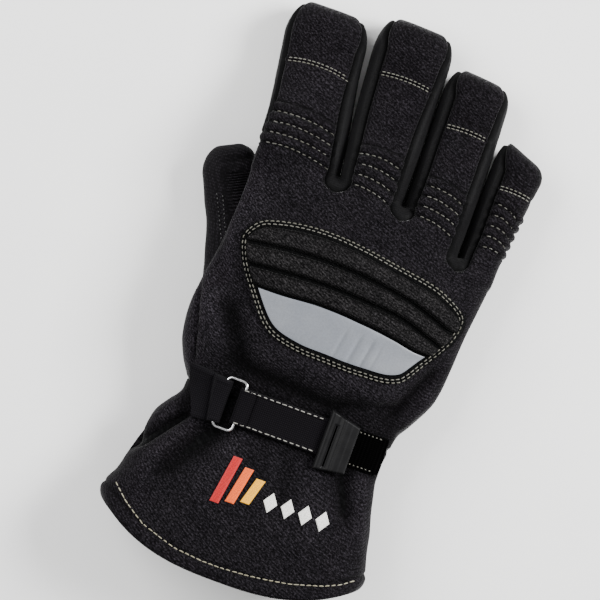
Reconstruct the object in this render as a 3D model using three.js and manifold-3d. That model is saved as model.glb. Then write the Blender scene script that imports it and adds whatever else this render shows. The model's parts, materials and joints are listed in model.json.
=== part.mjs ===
// A right-hand firefighter glove lying palm down on a table, in millimetres.
// +X is the little-finger side, +Y points to the fingertips and +Z is up.
// The origin is on the table, under the middle of the palm.
import * as THREE from "three";
import { mergeVertices } from "three/addons/utils/BufferGeometryUtils.js";
import Module from "manifold-3d";

const wasm = await Module();
wasm.setup();

// Driving sizes
const glove_length = 266;
const palm_width = 121;
const palm_height = 41;
const finger_rise = 13;
const finger_drop = 12;
const fingertip_height = 11;
const shell_wall = 2.6;
const seam_gap = 0.3;
const seam_bevel = 1.5;
const finger_gap = 0.35;
const rest_sink = 1.2;
const strip_width = 7;
const strip_width_below = 3.5;
const roundness = 0.75;
const underside_roundness = 0.6;
const rib_height = 0.9;
const rib_pitch = 4.6;
const rib_count = 4;

// How finely the fabric is divided
const back_columns = 5;
const palm_columns = 4;
const strip_columns = 4;
const cuff_rows = 7;
const hand_rows = 8;
const web_rows = 3;
const tip_angles = [28, 52, 75, 90];
const strip_end_angle = 75;

// Sections of the cuff and hand. `at` and `bow` are shares of the glove's length, `left` and
// `right` of the palm's width, and the heights of the palm's height: the crown of the back, the
// side seams, and the lift of the underside over the thumb. A column left out is nought.
const sections = [
  { at: -0.408, left: -0.531, right: 0.49, bow: 0.062, crown: 1.12, seam_left: 0.42, seam_right: 0.4 },
  { at: -0.382, left: -0.542, right: 0.493, bow: 0.056, crown: 1.1, seam_left: 0.42, seam_right: 0.4 },
  { at: -0.355, left: -0.516, right: 0.474, bow: 0.046, crown: 1.07, seam_left: 0.42, seam_right: 0.4 },
  { at: -0.306, left: -0.488, right: 0.446, bow: 0.03, crown: 1.0, seam_left: 0.42, seam_right: 0.4 },
  { at: -0.243, left: -0.435, right: 0.417, bow: 0.014, crown: 0.85, seam_left: 0.41, seam_right: 0.4 },
  { at: -0.203, left: -0.387, right: 0.409, bow: 0.006, crown: 0.82, seam_left: 0.41, seam_right: 0.4 },
  { at: -0.173, left: -0.382, right: 0.417, bow: 0.003, crown: 0.82, seam_left: 0.41, seam_right: 0.4 },
  { at: -0.143, left: -0.421, right: 0.43, crown: 0.845, seam_left: 0.43, seam_right: 0.39 },
  { at: -0.105, left: -0.455, right: 0.475, crown: 0.91, seam_left: 0.46, seam_right: 0.38, lift: 0.02 },
  { at: -0.06, left: -0.465, right: 0.521, crown: 0.95, seam_left: 0.52, seam_right: 0.36, lift: 0.1 },
  { at: 0, left: -0.457, right: 0.533, crown: 0.98, seam_left: 0.61, seam_right: 0.34, lift: 0.33 },
  { at: 0.048, left: -0.44, right: 0.54, crown: 1.0, seam_left: 0.68, seam_right: 0.32, lift: 0.49 },
  { at: 0.098, left: -0.428, right: 0.554, crown: 1.0, seam_left: 0.71, seam_right: 0.31, lift: 0.5 },
  { at: 0.158, left: -0.42, right: 0.566, crown: 0.97, seam_left: 0.71, seam_right: 0.3, lift: 0.48 },
  { at: 0.216, left: -0.426, right: 0.573, crown: 0.92, seam_left: 0.7, seam_right: 0.3, lift: 0.4 },
];
const wrist_at = -0.173;
const crown_slope = 0.2;

// Where the row of knuckles runs, as shares of the glove's length against shares of the palm's
// half width. It passes the foot of each fork between the fingers.
const knuckle_row = [
  { at: -1, forward: 0.198 },
  { at: -0.35, forward: 0.208 },
  { at: 0.18, forward: 0.2 },
  { at: 0.7, forward: 0.153 },
  { at: 1, forward: 0.14 },
];

// Fingers: `base` rows start at the forks, `round` rows where the tip begins to close, and the
// `tip` pair is the blunt end. Shares of the glove's length (y) and the palm's width (x).
const fingers = [
  {
    name: "index",
    rows: [
      { at: 0.237, left: -0.429, right: -0.106 },
      { at: 0.301, left: -0.436, right: -0.124 },
      { at: 0.353, left: -0.452, right: -0.14 },
      { at: 0.443, left: -0.483, right: -0.163 },
    ],
    base_left: 0.237,
    base_right: 0.237,
    round: 0.443,
    cap: 0.39,
    tip: { left: -0.418, left_at: 0.503, right: -0.265, right_at: 0.504 },
    heights: [0.7, 0.56],
    rise: 0.27,
  },
  {
    name: "middle",
    rows: [
      { at: 0.23, left: -0.098, right: 0.152 },
      { at: 0.353, left: -0.131, right: 0.148 },
      { at: 0.47, left: -0.152, right: 0.146 },
    ],
    base_left: 0.237,
    base_right: 0.229,
    round: 0.47,
    cap: 0.421,
    tip: { left: -0.085, left_at: 0.527, right: 0.08, right_at: 0.525 },
    heights: [0.56, 0.4],
    rise: 0.43,
  },
  {
    name: "ring",
    rows: [
      { at: 0.179, left: 0.162, right: 0.41 },
      { at: 0.3, left: 0.156, right: 0.411 },
      { at: 0.432, left: 0.151, right: 0.4 },
    ],
    base_left: 0.229,
    base_right: 0.179,
    round: 0.432,
    cap: 0.375,
    tip: { left: 0.21, left_at: 0.483, right: 0.33, right_at: 0.477 },
    heights: [0.4, 0.31],
    rise: 0.46,
  },
  {
    name: "little",
    rows: [
      { at: 0.17, left: 0.417, right: 0.57 },
      { at: 0.266, left: 0.417, right: 0.588 },
      { at: 0.345, left: 0.419, right: 0.614 },
    ],
    base_left: 0.179,
    base_right: 0.172,
    round: 0.342,
    cap: 0.308,
    tip: { left: 0.455, left_at: 0.393, right: 0.55, right_at: 0.372 },
    heights: [0.31, 0.3],
    rise: 0.32,
  },
];

// The tucked thumb: its middle line from inside the palm to the tip, its half width and height.
const thumb_half_height = 9.2;
const thumb_path = [
  { x: -0.29, at: -0.085, half: 0.118 },
  { x: -0.335, at: 0.0, half: 0.12 },
  { x: -0.376, at: 0.06, half: 0.116 },
  { x: -0.412, at: 0.109, half: 0.112 },
  { x: -0.456, at: 0.15, half: 0.112 },
  { x: -0.488, at: 0.18, half: 0.108 },
];
const thumb_tip = { reach: 12, half: 0.055 };
const thumb_rows = 8;
const thumb_sides = 16;

// Smooth curve through one column of a table, whose rows are placed by their `at`.
function read(table, column, at) {
  const last = table.length - 1;
  const value = (k) => table[k][column] ?? 0;
  let i = 0;
  while (i < last - 1 && at > table[i + 1].at) i += 1;
  const slope = (k) => {
    const before = Math.max(0, k - 1);
    const after = Math.min(last, k + 1);
    return (value(after) - value(before)) / (table[after].at - table[before].at);
  };
  const span = table[i + 1].at - table[i].at;
  const t = THREE.MathUtils.clamp((at - table[i].at) / span, 0, 1);
  const t2 = t * t;
  const t3 = t2 * t;
  return (
    (2 * t3 - 3 * t2 + 1) * value(i) +
    (t3 - 2 * t2 + t) * span * slope(i) +
    (3 * t2 - 2 * t3) * value(i + 1) +
    (t3 - t2) * span * slope(i + 1)
  );
}

function mix(a, b, share) {
  return a + (b - a) * share;
}

function ease(from, to, value) {
  return THREE.MathUtils.smoothstep(value, from, to);
}

function power(value, exponent) {
  return Math.sign(value) * Math.pow(Math.abs(value), exponent);
}

function radians(degrees) {
  return (degrees * Math.PI) / 180;
}

// A point on the hand or cuff. `level` is the y of the side seams, `angle` runs over the section
// from the little-finger side (0) to the thumb side (pi), on the back or on the palm.
function skin_point(level, angle, on_back) {
  const at = level / glove_length;
  const left = read(sections, "left", at) * palm_width;
  const right = read(sections, "right", at) * palm_width;
  const across = power(Math.cos(angle), roundness);
  const seam_left = read(sections, "seam_left", at);
  const seam_right = read(sections, "seam_right", at);
  const seam = mix(seam_left, seam_right, (across + 1) / 2) * palm_height;
  const bow = read(sections, "bow", at) * glove_length * Math.sin(angle) ** 2;
  const x = (left + right) / 2 + ((right - left) / 2) * across;
  if (on_back) {
    const slope = 1 - crown_slope * Math.max(0, across) * ease(wrist_at, 0, at);
    const crown = read(sections, "crown", at) * slope * palm_height;
    const z = seam + (crown - seam) * Math.pow(Math.sin(angle), roundness);
    return new THREE.Vector3(x, level - bow, z);
  }
  const lift = Math.max(0, read(sections, "lift", at)) * palm_height;
  const floor = lift * (1 - ease(-0.72, -0.1, across));
  const sink = rest_sink * Math.max(0, 1 - floor / 3);
  const z = seam - (seam - floor + sink) * Math.pow(Math.sin(angle), underside_roundness);
  return new THREE.Vector3(x, level - bow, Math.max(0, z));
}

// The section angle at a share of the half width across.
function angle_across(across) {
  return Math.acos(power(across, 1 / roundness));
}

const wrist = wrist_at * glove_length;

function knuckle_level(angle) {
  return read(knuckle_row, "forward", power(Math.cos(angle), roundness)) * glove_length;
}

// Forks between the fingers: the centre that each strip turns round.
const forks = [0, 1, 2].map((i) => {
  const a = fingers[i];
  const b = fingers[i + 1];
  const y = a.base_right * glove_length;
  const right = read(a.rows, "right", a.base_right);
  const left = read(b.rows, "left", b.base_left);
  return { x: ((right + left) / 2) * palm_width, y };
});

function fork_angle(i) {
  const foot = forks[i].y - strip_width;
  const left = read(sections, "left", foot / glove_length) * palm_width;
  const right = read(sections, "right", foot / glove_length) * palm_width;
  return angle_across((forks[i].x - (left + right) / 2) / ((right - left) / 2));
}
const bounds_of_fingers = [Math.PI, fork_angle(0), fork_angle(1), fork_angle(2), 0];

// Rows along a finger: the pleated ribs at the knuckle, the plain stretch, the cap and the tip.
function finger_rows(finger) {
  const length = (finger.round - finger.base_left) * glove_length;
  const cap = ((finger.cap - finger.base_left) * glove_length) / length;
  const rows = [{ along: 0, puff: 0, tip: 0 }];
  for (let i = 1; i <= 2 * rib_count; i += 1) {
    const along = (0.8 + (i * rib_pitch) / 2) / length;
    rows.push({ along, puff: i % 2, tip: 0 });
  }
  const ribs_end = rows[rows.length - 1].along;
  rows.push({ along: mix(ribs_end, cap, 0.5), puff: 0, tip: 0 });
  rows.push({ along: cap, puff: 0, tip: 0, seam: true });
  rows.push({ along: 1, puff: 0, tip: 0 });
  tip_angles.forEach((angle) => rows.push({ along: 1, puff: 0, tip: radians(angle) }));
  return rows;
}

// The two side points of a finger's row, at mid height, and how far its back and palm stand off.
function finger_row(finger, row) {
  const side = (name) => {
    const at = mix(finger[`base_${name}`], finger.round, row.along);
    const x = read(finger.rows, name, at) * palm_width;
    const end_x = finger.tip[name] * palm_width;
    const end_y = finger.tip[`${name}_at`] * glove_length;
    const y = at * glove_length;
    const base = finger.heights[name === "left" ? 0 : 1] * palm_height;
    return new THREE.Vector3(
      mix(x, end_x, 1 - Math.cos(row.tip)),
      mix(y, end_y, Math.sin(row.tip)),
      mix(base, fingertip_height, ease(0, 0.9, row.along)),
    );
  };
  const close = Math.pow(Math.max(0, Math.cos(row.tip)), 0.8);
  const left = side("left");
  const right = side("right");
  const half = left.distanceTo(right) / 2;
  const fade = Math.max(0, 1 - row.tip / radians(strip_end_angle));
  const reach = (width) => {
    const share = 1 - Math.min(width, 0.55 * half) / half;
    return Math.acos(Math.pow(share, 1 / roundness)) * fade;
  };
  return {
    left,
    right,
    rise: mix(finger.rise * palm_height, finger_rise, ease(0, 0.6, row.along)) * close,
    drop: finger_drop * close,
    puff: row.puff,
    edge_above: reach(strip_width),
    edge_below: reach(strip_width_below),
    outer_above: radians(40) * ease(0, 0.5, row.along) * fade,
    outer_below: radians(25) * ease(0, 0.5, row.along) * fade,
  };
}

function finger_point(row, angle, puffed) {
  const across = power(Math.cos(angle), roundness);
  const up = Math.sin(angle);
  const point = row.left.clone().lerp(row.right, (across + 1) / 2);
  if (up >= 0) {
    const puff = puffed ? row.puff * rib_height * Math.pow(up, 0.3) : 0;
    point.z += row.rise * Math.pow(up, roundness) + puff;
  } else {
    point.z = Math.max(0, point.z - row.drop * Math.pow(-up, underside_roundness));
  }
  return point;
}

// Angles of the panel edges on a finger's row: the seams to the strips on either side.
function panel_edges(index, row, on_back) {
  const left_edge = on_back ? row.edge_above : row.edge_below;
  const outer = on_back ? row.outer_above : row.outer_below;
  const first = index === 0 ? outer : left_edge;
  const last = index === 3 ? 0 : left_edge;
  return on_back ? [Math.PI - first, last] : [Math.PI + first, 2 * Math.PI - last];
}

function finger_panel_row(index, row, on_back, columns) {
  const [from, to] = panel_edges(index, row, on_back);
  const points = [];
  for (let j = 0; j <= columns; j += 1) {
    points.push(finger_point(row, mix(from, to, j / columns), on_back));
  }
  return points;
}

function knuckle_panel_row(index, on_back, columns) {
  const points = [];
  for (let j = 0; j <= columns; j += 1) {
    const angle = mix(bounds_of_fingers[index], bounds_of_fingers[index + 1], j / columns);
    points.push(skin_point(knuckle_level(angle), angle, on_back));
  }
  return points;
}

// The foot of a fork: the seam turns round the fork's centre between two fingers.
function web_edge(fork, start, foot, turn) {
  const centre = new THREE.Vector3(forks[fork].x, forks[fork].y, 0);
  const first = start.clone().sub(centre);
  const last = foot.clone().sub(centre);
  const radius = mix(Math.hypot(first.x, first.y), Math.hypot(last.x, last.y), Math.sin(turn));
  return new THREE.Vector3(
    centre.x + Math.sign(first.x) * radius * Math.cos(turn),
    centre.y - radius * Math.sin(turn),
    mix(start.z, foot.z, Math.sin(turn)),
  );
}

// Rows between a finger's first row and the knuckle row, edges turning round the forks.
function web_panel_rows(index, top, bottom) {
  const columns = top.length - 1;
  const rows = [];
  for (let i = web_rows - 1; i >= 1; i -= 1) {
    const turn = radians((90 * i) / web_rows);
    const share = Math.sin(turn);
    const row = top.map((point, j) => point.clone().lerp(bottom[j], share));
    const left = row[0].clone();
    const right = row[columns].clone();
    const new_left = index > 0 ? web_edge(index - 1, top[0], bottom[0], turn) : left;
    const new_right = index < 3 ? web_edge(index, top[columns], bottom[columns], turn) : right;
    const shift_left = new_left.clone().sub(left);
    const shift_right = new_right.clone().sub(right);
    row.forEach((point, j) => {
      point.addScaledVector(shift_left, 1 - j / columns);
      point.addScaledVector(shift_right, j / columns);
    });
    rows.push(row);
  }
  return rows;
}

// Everything one finger's panel needs: web rows, finger rows and where its cap begins.
function finger_panel(index, on_back, columns) {
  const finger = fingers[index];
  const rows = finger_rows(finger);
  const grid = rows.map((row) => finger_panel_row(index, finger_row(finger, row), on_back, columns));
  const knuckles = knuckle_panel_row(index, on_back, columns);
  const foot = [knuckles, ...web_panel_rows(index, grid[0], knuckles)];
  const seam = rows.findIndex((row) => row.seam);
  return { foot, grid, seam };
}

// The hand between the wrist seam and the knuckle row.
function hand_grid(on_back, columns) {
  const grid = [];
  for (let i = 0; i <= hand_rows; i += 1) {
    const row = [];
    for (let k = 0; k < 4; k += 1) {
      for (let j = k === 0 ? 0 : 1; j <= columns; j += 1) {
        const angle = mix(bounds_of_fingers[k], bounds_of_fingers[k + 1], j / columns);
        const level = mix(wrist, knuckle_level(angle), i / hand_rows);
        row.push(skin_point(level, angle, on_back));
      }
    }
    grid.push(row);
  }
  return grid;
}

function cuff_grid(on_back, columns) {
  const hem = sections[0].at * glove_length;
  const grid = [];
  for (let i = 0; i <= cuff_rows; i += 1) {
    const level = mix(hem, wrist, i / cuff_rows);
    const row = [];
    for (let j = 0; j <= columns; j += 1) {
      row.push(skin_point(level, mix(Math.PI, 0, j / columns), on_back));
    }
    grid.push(row);
  }
  return grid;
}

// A strip between two fingers, from one tip down round the fork and up to the other tip.
function strip_section(middle, above, below, angle_above, angle_below) {
  const points = [];
  for (let j = 0; j <= strip_columns; j += 1) {
    const angle = mix(angle_above, -angle_below, j / strip_columns);
    const edge = angle >= 0 ? above : below;
    const full = angle >= 0 ? angle_above : angle_below;
    const exponent = angle >= 0 ? roundness : underside_roundness;
    const inward = (1 - Math.pow(Math.cos(angle), roundness)) / (1 - Math.pow(Math.cos(full), roundness));
    const tall = Math.pow(Math.sin(Math.abs(angle)) / Math.sin(full), exponent);
    points.push(
      new THREE.Vector3(
        mix(middle.x, edge.x, inward),
        mix(middle.y, edge.y, inward),
        mix(middle.z, edge.z, tall),
      ),
    );
  }
  return points;
}

function finger_strip_rows(index, side) {
  const finger = fingers[index];
  const rows = finger_rows(finger).filter((row) => row.tip < radians(strip_end_angle) - 0.01);
  const sections_of_strip = rows.map((spec) => {
    const row = finger_row(finger, spec);
    const outer = index === 0 && side === "left";
    const above = outer ? row.outer_above : row.edge_above;
    const below = outer ? row.outer_below : row.edge_below;
    const turn = side === "right" ? (angle) => angle : (angle) => Math.PI - angle;
    return strip_section(
      row[side],
      finger_point(row, turn(above), true),
      finger_point(row, turn(-below), false),
      Math.max(above, 0.05),
      Math.max(below, 0.05),
    );
  });
  return sections_of_strip;
}

function strip_grid(fork) {
  const left = finger_strip_rows(fork, "right");
  const right = finger_strip_rows(fork + 1, "left");
  const turns = [];
  const back_a = finger_panel(fork, true, back_columns);
  const palm_a = finger_panel(fork, false, palm_columns);
  const back_b = finger_panel(fork + 1, true, back_columns);
  const palm_b = finger_panel(fork + 1, false, palm_columns);
  const row_a = finger_row(fingers[fork], finger_rows(fingers[fork])[0]);
  const row_b = finger_row(fingers[fork + 1], finger_rows(fingers[fork + 1])[0]);
  const centre = new THREE.Vector3(forks[fork].x, forks[fork].y, row_a.right.z);
  const add = (side, turn, above, below, row) => {
    const middle = centre.clone();
    middle.x += side * finger_gap * Math.cos(turn);
    middle.y -= finger_gap * Math.sin(turn);
    turns.push(strip_section(middle, above, below, row.edge_above, row.edge_below));
  };
  for (let i = web_rows - 1; i >= 0; i -= 1) {
    const turn = radians((90 * (web_rows - i)) / web_rows);
    add(-1, turn, back_a.foot[i].at(-1), palm_a.foot[i].at(-1), row_a);
  }
  for (let i = 1; i < web_rows; i += 1) {
    const turn = radians((90 * (web_rows - i)) / web_rows);
    add(1, turn, back_b.foot[i][0], palm_b.foot[i][0], row_b);
  }
  return [...left.reverse(), ...turns, ...right];
}

// The thumb: a tube along its middle line, open at the base and closed at the tip.
function thumb_grid(grow) {
  const table = thumb_path.map((row, i) => ({ ...row, y: row.at, at: i / (thumb_path.length - 1) }));
  const grid = [];
  const add = (t, close, reach) => {
    const centre = new THREE.Vector2(read(table, "x", t) * palm_width, read(table, "y", t) * glove_length);
    const before = Math.max(0, t - 0.02);
    const after = Math.min(1, before + 0.04);
    const along = new THREE.Vector2(
      (read(table, "x", after) - read(table, "x", before)) * palm_width,
      (read(table, "y", after) - read(table, "y", before)) * glove_length,
    ).normalize();
    const half = mix(thumb_tip.half, read(table, "half", t), close) * palm_width + grow;
    const rise = (thumb_half_height + rest_sink / 2) * Math.pow(close, 0.8) + grow;
    const row = [];
    for (let j = 0; j < thumb_sides; j += 1) {
      const angle = (2 * Math.PI * j) / thumb_sides;
      const across = half * power(Math.cos(angle), roundness);
      const up = Math.max(-grow, thumb_half_height + rise * power(Math.sin(angle), roundness));
      row.push(
        new THREE.Vector3(
          centre.x + along.y * across + along.x * reach,
          centre.y - along.x * across + along.y * reach,
          up,
        ),
      );
    }
    grid.push(row);
  };
  for (let i = 0; i <= thumb_rows; i += 1) add(i / thumb_rows, 1, 0);
  tip_angles.forEach((angle) => {
    const turn = radians(angle);
    add(1, Math.max(0, Math.cos(turn)), (thumb_tip.reach + grow) * Math.sin(turn));
  });
  grid.forEach((row) => row.push(row[0].clone()));
  return grid;
}

// Welding, normals and thickness of the fabric sheets
function key_of(point) {
  return point.toArray().map((value) => Math.round(value * 500)).join(" ");
}

function faces_of(grids) {
  const points = [];
  const seen = new Map();
  const place = (point) => {
    const key = key_of(point);
    if (!seen.has(key)) {
      seen.set(key, points.length);
      points.push(point.clone());
    }
    return seen.get(key);
  };
  const faces = [];
  const add = (a, b, c) => {
    if (a !== b && b !== c && c !== a) faces.push([a, b, c]);
  };
  grids.forEach(({ grid, flip }) => {
    const ids = grid.map((row) => row.map(place));
    for (let i = 0; i + 1 < ids.length; i += 1) {
      for (let j = 0; j + 1 < ids[i].length; j += 1) {
        let quad = [ids[i][j], ids[i][j + 1], ids[i + 1][j + 1], ids[i + 1][j]];
        if (2 * j < ids[i].length - 2) quad = [quad[1], quad[2], quad[3], quad[0]];
        if (flip) quad.reverse();
        const [a, b, c, d] = quad;
        add(a, b, c);
        add(a, c, d);
      }
    }
  });
  return { points, faces };
}

function add_normals(sheet, normals) {
  sheet.faces.forEach(([a, b, c]) => {
    const [p, q, r] = [sheet.points[a], sheet.points[b], sheet.points[c]];
    const normal = q.clone().sub(p).cross(r.clone().sub(p));
    [p, q, r].forEach((point) => {
      const key = key_of(point);
      if (!normals.has(key)) normals.set(key, new THREE.Vector3());
      normals.get(key).add(normal);
    });
  });
}

function edges_of(faces) {
  const open_edges = new Map();
  faces.forEach((face) => {
    face.forEach((from, i) => {
      const to = face[(i + 1) % 3];
      if (open_edges.has(`${to} ${from}`)) open_edges.delete(`${to} ${from}`);
      else open_edges.set(`${from} ${to}`, [from, to]);
    });
  });
  return [...open_edges.values()];
}

// A solid between an outer and an inner copy of the same faces.
function between(faces, outer, inner) {
  const triangles = [];
  const shift = outer.length;
  faces.forEach(([a, b, c]) => {
    triangles.push([a, b, c]);
    triangles.push([a + shift, c + shift, b + shift]);
  });
  edges_of(faces).forEach(([from, to]) => {
    triangles.push([to, from, from + shift]);
    triangles.push([to, from + shift, to + shift]);
  });
  return geometry_from([...outer, ...inner], triangles);
}

// A sheet with thickness: its outer face, its inner face and the cut edges between them.
function thicken(sheet, normals, wall, trim, bevel) {
  const { points, faces } = sheet;
  const open_edges = edges_of(faces);
  const inward = points.map(() => new THREE.Vector3());
  faces.forEach(([a, b, c]) => {
    const middle = points[a].clone().add(points[b]).add(points[c]).divideScalar(3);
    [a, b, c].forEach((id) => inward[id].add(middle.clone().sub(points[id])));
  });
  const along = points.map(() => new THREE.Vector3());
  open_edges.forEach(([from, to]) => {
    const edge = points[to].clone().sub(points[from]).normalize();
    along[from].add(edge);
    along[to].add(edge);
  });
  const pulls = points.map((point, id) => {
    if (along[id].length() < 0.01) return new THREE.Vector3();
    const edge = along[id].clone().normalize();
    return inward[id].clone().addScaledVector(edge, -inward[id].dot(edge)).normalize();
  });
  const outer = points.map((point, id) => point.clone().addScaledVector(pulls[id], trim));
  const inner = outer.map((point, id) => {
    const normal = normals.get(key_of(points[id])).clone().normalize();
    return point.clone().addScaledVector(pulls[id], bevel).addScaledVector(normal, -wall);
  });
  return between(faces, outer, inner);
}

function geometry_from(points, triangles) {
  const geometry = new THREE.BufferGeometry();
  const positions = new Float32Array(points.flatMap((point) => point.toArray()));
  geometry.setAttribute("position", new THREE.BufferAttribute(positions, 3));
  geometry.setIndex(triangles.flat());
  return geometry;
}

// Booleans
function solid_of(geometry) {
  const plain = geometry.clone();
  plain.deleteAttribute("normal");
  plain.deleteAttribute("uv");
  const merged = mergeVertices(plain, 1e-4);
  return new wasm.Manifold(
    new wasm.Mesh({
      numProp: 3,
      vertProperties: new Float32Array(merged.attributes.position.array),
      triVerts: new Uint32Array(merged.index.array),
    }),
  );
}

function geometry_of(solid) {
  const whole = solid.decompose().sort((a, b) => b.volume() - a.volume())[0];
  const mesh = whole.getMesh();
  const geometry = new THREE.BufferGeometry();
  geometry.setAttribute("position", new THREE.BufferAttribute(mesh.vertProperties.slice(), 3));
  geometry.setIndex([...mesh.triVerts]);
  return geometry;
}

function cut(geometry, ...tools) {
  return geometry_of(tools.reduce((solid, tool) => solid.subtract(tool), solid_of(geometry)));
}

// A closed solid of a tube of rows, closed by a fan at each open end.
function capped(grid, flip) {
  const { points, faces } = faces_of([{ grid, flip }]);
  const open_edges = edges_of(faces);
  const halfway = (grid[0][0].y + grid.at(-1)[0].y) / 2;
  const ends = [true, false].map((low) => {
    const edges = open_edges.filter(([from]) => points[from].y < halfway === low);
    const middle = new THREE.Vector3();
    edges.forEach(([from]) => middle.addScaledVector(points[from], 1 / edges.length));
    return { edges, middle };
  });
  const triangles = [...faces];
  ends.forEach(({ edges, middle }) => {
    if (edges.length === 0) return;
    points.push(middle);
    edges.forEach(([from, to]) => triangles.push([to, from, points.length - 1]));
  });
  return geometry_from(points, triangles);
}

// Colours from dark to light
const shell_black = { color: 0x232326, roughness: 0.92, metalness: 0 };
const grip_black = { color: 0x1b1b1d, roughness: 0.7, metalness: 0 };
const smooth_black = { color: 0x141416, roughness: 0.65, metalness: 0 };
const webbing_black = { color: 0x161618, roughness: 0.6, metalness: 0 };
const silver = { color: 0x9ea3a9, roughness: 0.35, metalness: 0.1 };
const chrome = { color: 0xd8dadd, roughness: 0.15, metalness: 1 };
const rubber = { color: 0x2c2d30, roughness: 0.55, metalness: 0 };
const thread_white = { color: 0xe9e7e0, roughness: 0.7, metalness: 0 };
const thread_red = { color: 0xb5231d, roughness: 0.6, metalness: 0 };
const thread_orange = { color: 0xdd6a1c, roughness: 0.6, metalness: 0 };
const thread_amber = { color: 0xe9b23a, roughness: 0.6, metalness: 0 };

const glove = new THREE.Group();

function add_piece(name, geometry, look) {
  geometry.computeVertexNormals();
  const mesh = new THREE.Mesh(geometry, new THREE.MeshStandardMaterial(look));
  mesh.name = name;
  glove.add(mesh);
  return mesh;
}

// The shell: back, fingertip caps, palm, strips between the fingers and cuff
const sheets = [];

function add_sheet(name, grids, look) {
  sheets.push({ name, look, sheet: faces_of(grids) });
}

const back_fingers = fingers.map((finger, i) => finger_panel(i, true, back_columns));
const palm_fingers = fingers.map((finger, i) => finger_panel(i, false, palm_columns));

add_sheet(
  "back_panel",
  [
    { grid: hand_grid(true, back_columns) },
    ...back_fingers.map(({ foot, grid, seam }) => ({ grid: [...foot, ...grid.slice(0, seam + 1)] })),
  ],
  shell_black,
);
back_fingers.forEach(({ grid, seam }, i) => {
  add_sheet(`tip_cap_${fingers[i].name}`, [{ grid: grid.slice(seam) }], shell_black);
});
add_sheet(
  "palm_panel",
  [
    { grid: hand_grid(false, palm_columns), flip: true },
    ...palm_fingers.map(({ foot, grid }) => ({ grid: [...foot, ...grid], flip: true })),
  ],
  grip_black,
);
forks.forEach((fork, i) => {
  const name = `fourchette_${fingers[i].name}_${fingers[i + 1].name}`;
  add_sheet(name, [{ grid: strip_grid(i), flip: true }], smooth_black);
});
const side_rows = finger_strip_rows(0, "left").slice(3);
add_sheet("index_side_strip", [{ grid: side_rows, flip: true }], smooth_black);
add_sheet("cuff_back", [{ grid: cuff_grid(true, 4 * back_columns) }], shell_black);
add_sheet("cuff_palm", [{ grid: cuff_grid(false, 4 * palm_columns), flip: true }], shell_black);

const shell_normals = new Map();
sheets.forEach(({ sheet }) => add_normals(sheet, shell_normals));

// The thumb passes through the palm's edge: the palm is cut to clear it, and the thumb is cut
// where it would stand inside the hollow of the hand.
const thumb_sheet = faces_of([{ grid: thumb_grid(0), flip: true }]);
const thumb_normals = new Map();
add_normals(thumb_sheet, thumb_normals);
const thumb_room = solid_of(capped(thumb_grid(seam_gap), true));

function hand_hollow() {
  const back = hand_grid(true, palm_columns);
  const palm = hand_grid(false, palm_columns);
  const loops = back.map((row, i) => [...row, ...palm[i].slice(0, -1).reverse()]);
  const normals = new Map();
  add_normals(faces_of([{ grid: loops }]), normals);
  const move_in = (point) => {
    const normal = normals.get(key_of(point)).clone().normalize();
    return point.clone().addScaledVector(normal, -shell_wall);
  };
  return solid_of(capped(loops.map((row) => row.map(move_in)), false));
}

sheets.forEach(({ name, look, sheet }) => {
  const whole = thicken(sheet, shell_normals, shell_wall, seam_gap / 2, seam_bevel);
  add_piece(name, name === "palm_panel" ? cut(whole, thumb_room) : whole, look);
});
const thumb_whole = thicken(thumb_sheet, thumb_normals, shell_wall, 0, 0);
add_piece("thumb_sleeve", cut(thumb_whole, hand_hollow()), shell_black);

// Pieces laid on the back and the cuff
function laid_on_back(x, y, height) {
  let level = y;
  let angle = 0;
  for (let i = 0; i < 8; i += 1) {
    const at = level / glove_length;
    const left = read(sections, "left", at) * palm_width;
    const right = read(sections, "right", at) * palm_width;
    const across = THREE.MathUtils.clamp((x - (left + right) / 2) / ((right - left) / 2), -0.995, 0.995);
    angle = angle_across(across);
    level = y + read(sections, "bow", at) * glove_length * Math.sin(angle) ** 2;
  }
  const step = 0.01;
  const point = skin_point(level, angle, true);
  const forward = skin_point(level + step, angle, true).sub(skin_point(level - step, angle, true));
  const thumbward = skin_point(level, angle + step, true).sub(skin_point(level, angle - step, true));
  const normal = forward.cross(thumbward).normalize();
  return { point: point.addScaledVector(normal, height), normal };
}

// A slab that follows the back. `place` gives x and y for shares along and across, and `height`
// its thickness there.
function slab(columns, rows, lift, place, height) {
  const top = [];
  const bottom = [];
  for (let i = 0; i <= rows; i += 1) {
    top.push([]);
    bottom.push([]);
    for (let j = 0; j <= columns; j += 1) {
      const [x, y] = place(j / columns, i / rows);
      const thick = height(j / columns, i / rows);
      top[i].push(laid_on_back(x, y, lift + thick).point);
      bottom[i].push(laid_on_back(x, y, lift).point);
    }
  }
  const upper = faces_of([{ grid: top }]);
  const order = new Map(top.flat().map((point, k) => [key_of(point), bottom.flat()[k]]));
  return between(upper.faces, upper.points, upper.points.map((point) => order.get(key_of(point))));
}

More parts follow.
